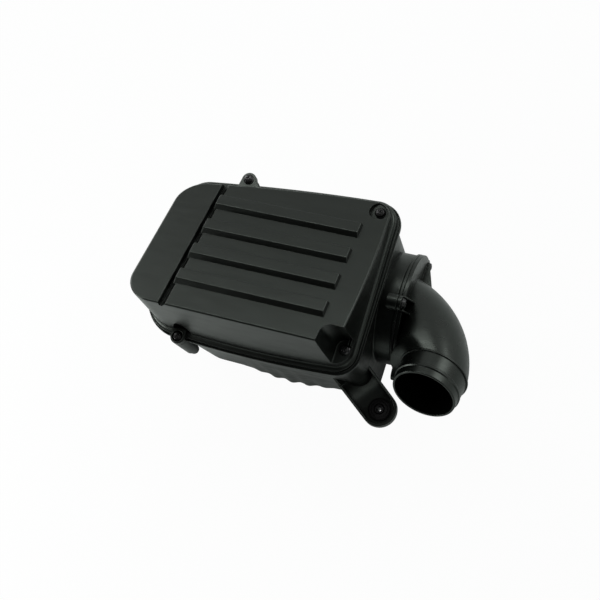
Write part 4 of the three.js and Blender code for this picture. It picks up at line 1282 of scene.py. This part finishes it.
def neck_bore():
    inner = mouth_radius - elbow_wall
    section = [
        (0, -bead_back - sink), (neck_radius - elbow_wall, -bead_back - sink),
        (neck_after_bead - elbow_wall, -bead_front), (inner, -mouth_flare),
        (inner + mouth_flare, overrun / 3), (0, overrun / 3),
    ]
    return lathe("neck_bore", section, neck_place, {3: 1 * mm})


fin_thickness = 2.4 * mm
fin_low = 3 * mm
fin_high = 16 * mm
fin_spacing = 17 * mm
fin_corner = 2 * mm
fin_edge = 0.6 * mm


def fins(index, ear):
    """Two fins run from beside a screw head to the elbow's body."""
    inward = Vector((0, body_y - ear.y, body_z - ear.z))
    length = inward.length - body_radius + 3 * elbow_wall
    inward.normalize()
    outline = [(0, -sink), (length, -sink), (length, fin_high), (0, fin_low)]
    across = inward.cross(along_x)
    basis = Matrix((inward, along_x, across)).transposed().to_4x4()
    foot_place = Matrix.Translation((elbow_start + collar_rim, ear.y, ear.z)) @ basis
    for side in (-1, 1):
        middle = side * fin_spacing / 2
        yield prism(f"fin_{index}_{side + 1}", outline, foot_place, middle - fin_thickness / 2,
                    middle + fin_thickness / 2, {3: fin_corner}, fin_edge)


print("neck turned by", round(math.degrees(mouth_turn.angle)), "degrees")

# %% [markdown]
# All parts of the elbow are joined first, and then the air's way and the screw holes are cut in one go.

# %% Elbow


def make_elbow():
    flange_end = elbow_start + collar_rim
    body = rod("elbow", elbow_start, flange_end, collar_y, collar_z, collar_rim_radius, round_sides, 1 * mm,
               flange_edge)
    plates = [ear_plate(f"ear_{i}", a, elbow_start, flange_end) for i, a in enumerate(ear_angles)]
    lug = join(ear_plate("lug", lug_angle, elbow_start, flange_end),
               ear_round("lug_round", lug_angle, elbow_start, elbow_start + lug_thickness))
    all_fins = [f for i, ear in enumerate(ears) for f in fins(i, ear)]
    join(body, bend("bend", 0), neck(), lug, *plates, *all_fins)
    bore = rod("flange_bore", elbow_start - overrun, elbow_start + sink / 2, body_y, body_z,
               body_radius - elbow_wall)
    holes = [rod(f"ear_hole_{i}", elbow_start - overrun, flange_end + 3 * overrun, e.y, e.z, hole_radius,
                 small_sides) for i, e in enumerate(ears)]
    cut(body, bend("bend_bore", elbow_wall), neck_bore(), bore, *holes)
    return dressed(body, elbow_plastic, "housing", "outlet_elbow")


make_elbow()

# %% [markdown]
# ## Screws
# Seven equal screws hold the lid and the elbow. Each has a pan head with a cross recess and a wide flange
# that spreads the load on the plastic. The turned part comes from the lathe, with shallow rings for the
# thread, and two crossed blocks cut the recess. Each screw is turned by its own angle, as real ones are.

# %% Screws
head_radius = 6.2 * mm
head_height = 3.2 * mm
head_edge = 0.9 * mm
washer_thickness = 1.4 * mm
shank_radius = 2.6 * mm
thread_pitch = 1.6 * mm
thread_depth = 0.35 * mm
cross_length = 6.4 * mm
cross_width = 1.5 * mm
cross_depth = 2 * mm
cross_edge = 0.25 * mm
screw_top = washer_thickness + head_height


def stand(node, axis, back, degrees=0):
    """Where a fitting starts, back from the outer end of its node on an axis, and how long it is."""
    low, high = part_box(node)
    point = (low + high) / 2
    point[axis] = high[axis] - back
    lie = lie_along_x if axis == 0 else Matrix()
    place = Matrix.Translation(point) @ lie @ Matrix.Rotation(math.radians(degrees), 4, "Z")
    return place, point[axis] - low[axis]


def screw(node, place, length, body):
    section = [(0, -length), (shank_radius - 2 * thread_depth, -length)]
    height = -length + thread_pitch
    while height < -2.5 * thread_pitch:
        section.append((shank_radius, height))
        section.append((shank_radius - thread_depth, height + thread_pitch / 2))
        height += thread_pitch
    first = len(section)
    section += [
        (shank_radius, -thread_pitch), (shank_radius, 0), (washer_radius, 0), (washer_radius, head_edge),
        (head_radius, washer_thickness), (head_radius - head_edge, screw_top - head_edge),
        (0.4 * head_radius, screw_top), (0, screw_top),
    ]
    made = lathe(node + "_turned", section, Matrix(), {first + 3: 0.3 * mm, first + 5: 1.1 * mm}, 48)
    long, wide = cross_length / 2, cross_width / 2
    for name, x, y in (("bar", long, wide), ("cross_bar", wide, long)):
        cut(made, block(name, -x, x, -y, y, screw_top - cross_depth, screw_top + overrun, cross_edge))
    made.data.transform(place)
    made.name = node + "_shape"
    return dressed(made, screw_steel, body, node)


fittings = (("lid", 4, 2, "cover", 20, 35), ("elbow", 3, 0, "housing", 0, 25))
for kind, count, axis, body, turn, turn_step in fittings:
    for number in range(1, count + 1):
        node = f"{kind}_screw_{number}"
        screw(node, *stand(node, axis, screw_top, turn + turn_step * number), body)

# %% [markdown]
# ## Threaded inserts
# Brass inserts are pressed into the plastic under each screw. Two knurled bands with a plain neck between
# them keep them from turning and from pulling out. The lathe makes the body, and every other line of
# points on a band is then drawn in to make the knurl.

# %% Inserts
knurl_lines = 48
knurl_depth = 0.25 * mm
insert_neck_depth = 0.6 * mm


def insert(node, place):
    length, radius = insert_length, insert_radius
    neck_out = radius - insert_neck_depth
    section = [
        (hole_radius, 0), (radius - 0.3 * mm, 0), (radius, -0.5 * mm), (radius, -4 * mm),
        (neck_out, -4.4 * mm), (neck_out, -5.6 * mm), (radius, -6 * mm), (radius, 0.8 * mm - length),
        (radius - 0.5 * mm, -length), (hole_radius, -length),
    ]
    made = lathe(node + "_shape", section, Matrix(), None, knurl_lines)
    for v in made.data.vertices:
        line = round(math.atan2(v.co.y, v.co.x) / (2 * math.pi / knurl_lines))
        if line % 2 and v.co.xy.length > radius - 0.01 * mm:
            v.co.xy *= 1 - knurl_depth / radius
    made.data.transform(place)
    return dressed(made, insert_brass, "housing", node)


for kind, count, axis, *_ in fittings:
    for number in range(1, count + 1):
        node = f"{kind}_insert_{number}"
        insert(node, stand(node, axis, 0)[0])

# %% [markdown]
# ## Grommet, sleeve and seal
# The foot stands on a rubber grommet that keeps the engine's shaking out of the housing. A steel sleeve
# inside it stops the bolt from crushing the rubber. Both are lathe work, as is the flat rubber ring that
# seals the joint between collar and elbow.

# %% Grommet, sleeve and seal
grommet_low, grommet_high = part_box("foot_grommet")
sleeve_low, sleeve_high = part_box("foot_sleeve")
sleeve_radius = (sleeve_high.x - sleeve_low.x) / 2
sleeve_bore = 4.2 * mm
sleeve_waist = 2.6 * mm  # the bore is swaged a little narrower between its two mouths
sleeve_edge = 0.5 * mm
seal_width = 3 * mm
grommet_radius = (grommet_high.x - grommet_low.x) / 2
grommet_flange = 3.5 * mm


def make_grommet():
    bore = sleeve_radius + fit
    top = grommet_high.z
    under = foot_bottom - fit
    flange_low = under - grommet_flange
    section = [
        (bore, grommet_low.z), (grommet_waist - 1.5 * mm, grommet_low.z), (grommet_waist, flange_low),
        (grommet_radius, flange_low), (grommet_radius, under), (grommet_waist, under),
        (grommet_waist, foot_top + fit), (grommet_radius, foot_top + fit),
        (grommet_radius, top - 1.6 * mm), (grommet_radius - 2 * mm, top - 0.7 * mm),
        (grommet_radius - 4 * mm, top - 0.7 * mm), (grommet_radius - 5 * mm, top), (bore + 1.2 * mm, top),
        (bore, top - 1.2 * mm),
    ]
    soft = {1: 0.9 * mm, 3: 0.9 * mm, 4: 0.6 * mm, 8: 0.9 * mm, 9: 0.5 * mm, 11: 0.5 * mm}
    made = lathe("grommet_shape", section, Matrix.Translation((grommet.x, grommet.y, 0)), soft)
    return dressed(made, grommet_rubber, "housing", "foot_grommet")


def make_sleeve():
    low, high = sleeve_low.z, sleeve_high.z
    edge, waist = sleeve_edge, sleeve_waist
    section = [
        (waist, low + 3 * mm), (sleeve_bore, low + 2 * mm), (sleeve_bore, low), (sleeve_radius - edge, low),
        (sleeve_radius, low + edge), (sleeve_radius, high - edge), (sleeve_radius - edge, high),
        (sleeve_bore, high), (sleeve_bore, high - 2 * mm), (waist, high - 3 * mm),
    ]
    made = lathe("sleeve_shape", section, Matrix.Translation((grommet.x, grommet.y, 0)), None, 64)
    return dressed(made, sleeve_steel, "housing", "foot_sleeve")


def make_seal():
    low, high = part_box("elbow_seal")
    outer = (high.z - low.z) / 2
    inner = outer - seal_width
    section = [(inner, low.x), (outer, low.x), (outer, high.x), (inner, high.x)]
    place = Matrix.Translation((0, body_y, body_z)) @ lie_along_x
    made = lathe("seal_shape", section, place, {0: 0.4 * mm, 1: 0.4 * mm, 2: 0.9 * mm, 3: 0.9 * mm})
    return dressed(made, grommet_rubber, "housing", "elbow_seal")


make_grommet()
make_sleeve()
make_seal()

# %% [markdown]
# ## The filter
# The filter is a sheet of paper folded into many tall pleats, with a card strip along each side and a
# soft cast frame round all of it. The paper starts as one flat grid. A wave lifts its points into
# folds, and then the sheet gets its small real thickness.

# %% Filter
pleat_count = 34
points_per_fold = 12
paper = 0.5 * mm
strip_edge = 0.35 * mm
frame_rim = 12 * mm
frame_corner = 3 * mm
frame_edge = 1.1 * mm
frame_groove = (3.6 * mm, 5.2 * mm)  # a shallow groove round its top, between these distances from the edge
frame_groove_depth = 0.8 * mm


def fold_height(share):
    """A zigzag between -1 and 1 whose turns are slightly rounded."""
    sharp = 0.985
    return math.asin(sharp * math.cos(2 * math.pi * pleat_count * share)) / math.asin(sharp)


def make_pleats():
    low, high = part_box("filter_pleats")
    bm = bmesh.new()
    bmesh.ops.create_grid(bm, x_segments=pleat_count * 2 * points_per_fold, y_segments=4, size=1)
    middle, half = (low.z + high.z) / 2, (high.z - low.z) / 2 - paper
    for v in bm.verts:
        share = (v.co.x + 1) / 2
        across = (v.co.y + 1) / 2
        x = low.x + paper + (high.x - low.x - 2 * paper) * share
        v.co = (x, low.y + (high.y - low.y) * across, middle + half * fold_height(share))
    bmesh.ops.solidify(bm, geom=bm.faces[:], thickness=paper)
    bmesh.ops.recalc_face_normals(bm, faces=bm.faces)
    over = min(v.co.x for v in bm.verts) - low.x
    if over < 0:
        bmesh.ops.translate(bm, verts=bm.verts, vec=(-over, 0, 0))
    return dressed(new_piece(bm, "pleats_shape"), filter_paper, "filter", "filter_pleats")


def make_strip(node):
    low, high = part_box(node)
    strip = block(node + "_shape", low.x, high.x, low.y, high.y, low.z, high.z, strip_edge)
    return dressed(strip, filter_card, "filter", node)


def make_frame():
    low, high = filter_low, filter_high
    outline = rectangle(low.x, high.x, low.y, high.y)
    made = prism("frame_shape", outline, Matrix(), low.z, high.z, {i: frame_corner for i in range(4)},
                 frame_edge)
    opening = filter_box("opening", -frame_rim, low.z - overrun, high.z + overrun)
    outer = filter_box("groove_out", -frame_groove[0], high.z - frame_groove_depth, high.z + overrun)
    inner = filter_box("groove_in", -frame_groove[1], high.z - overrun, high.z + 2 * overrun)
    cut(made, opening, cut(outer, inner))
    return dressed(made, seal_foam, "filter", "filter_frame")


make_pleats()
make_strip("filter_strip_near")
make_strip("filter_strip_far")
make_frame()
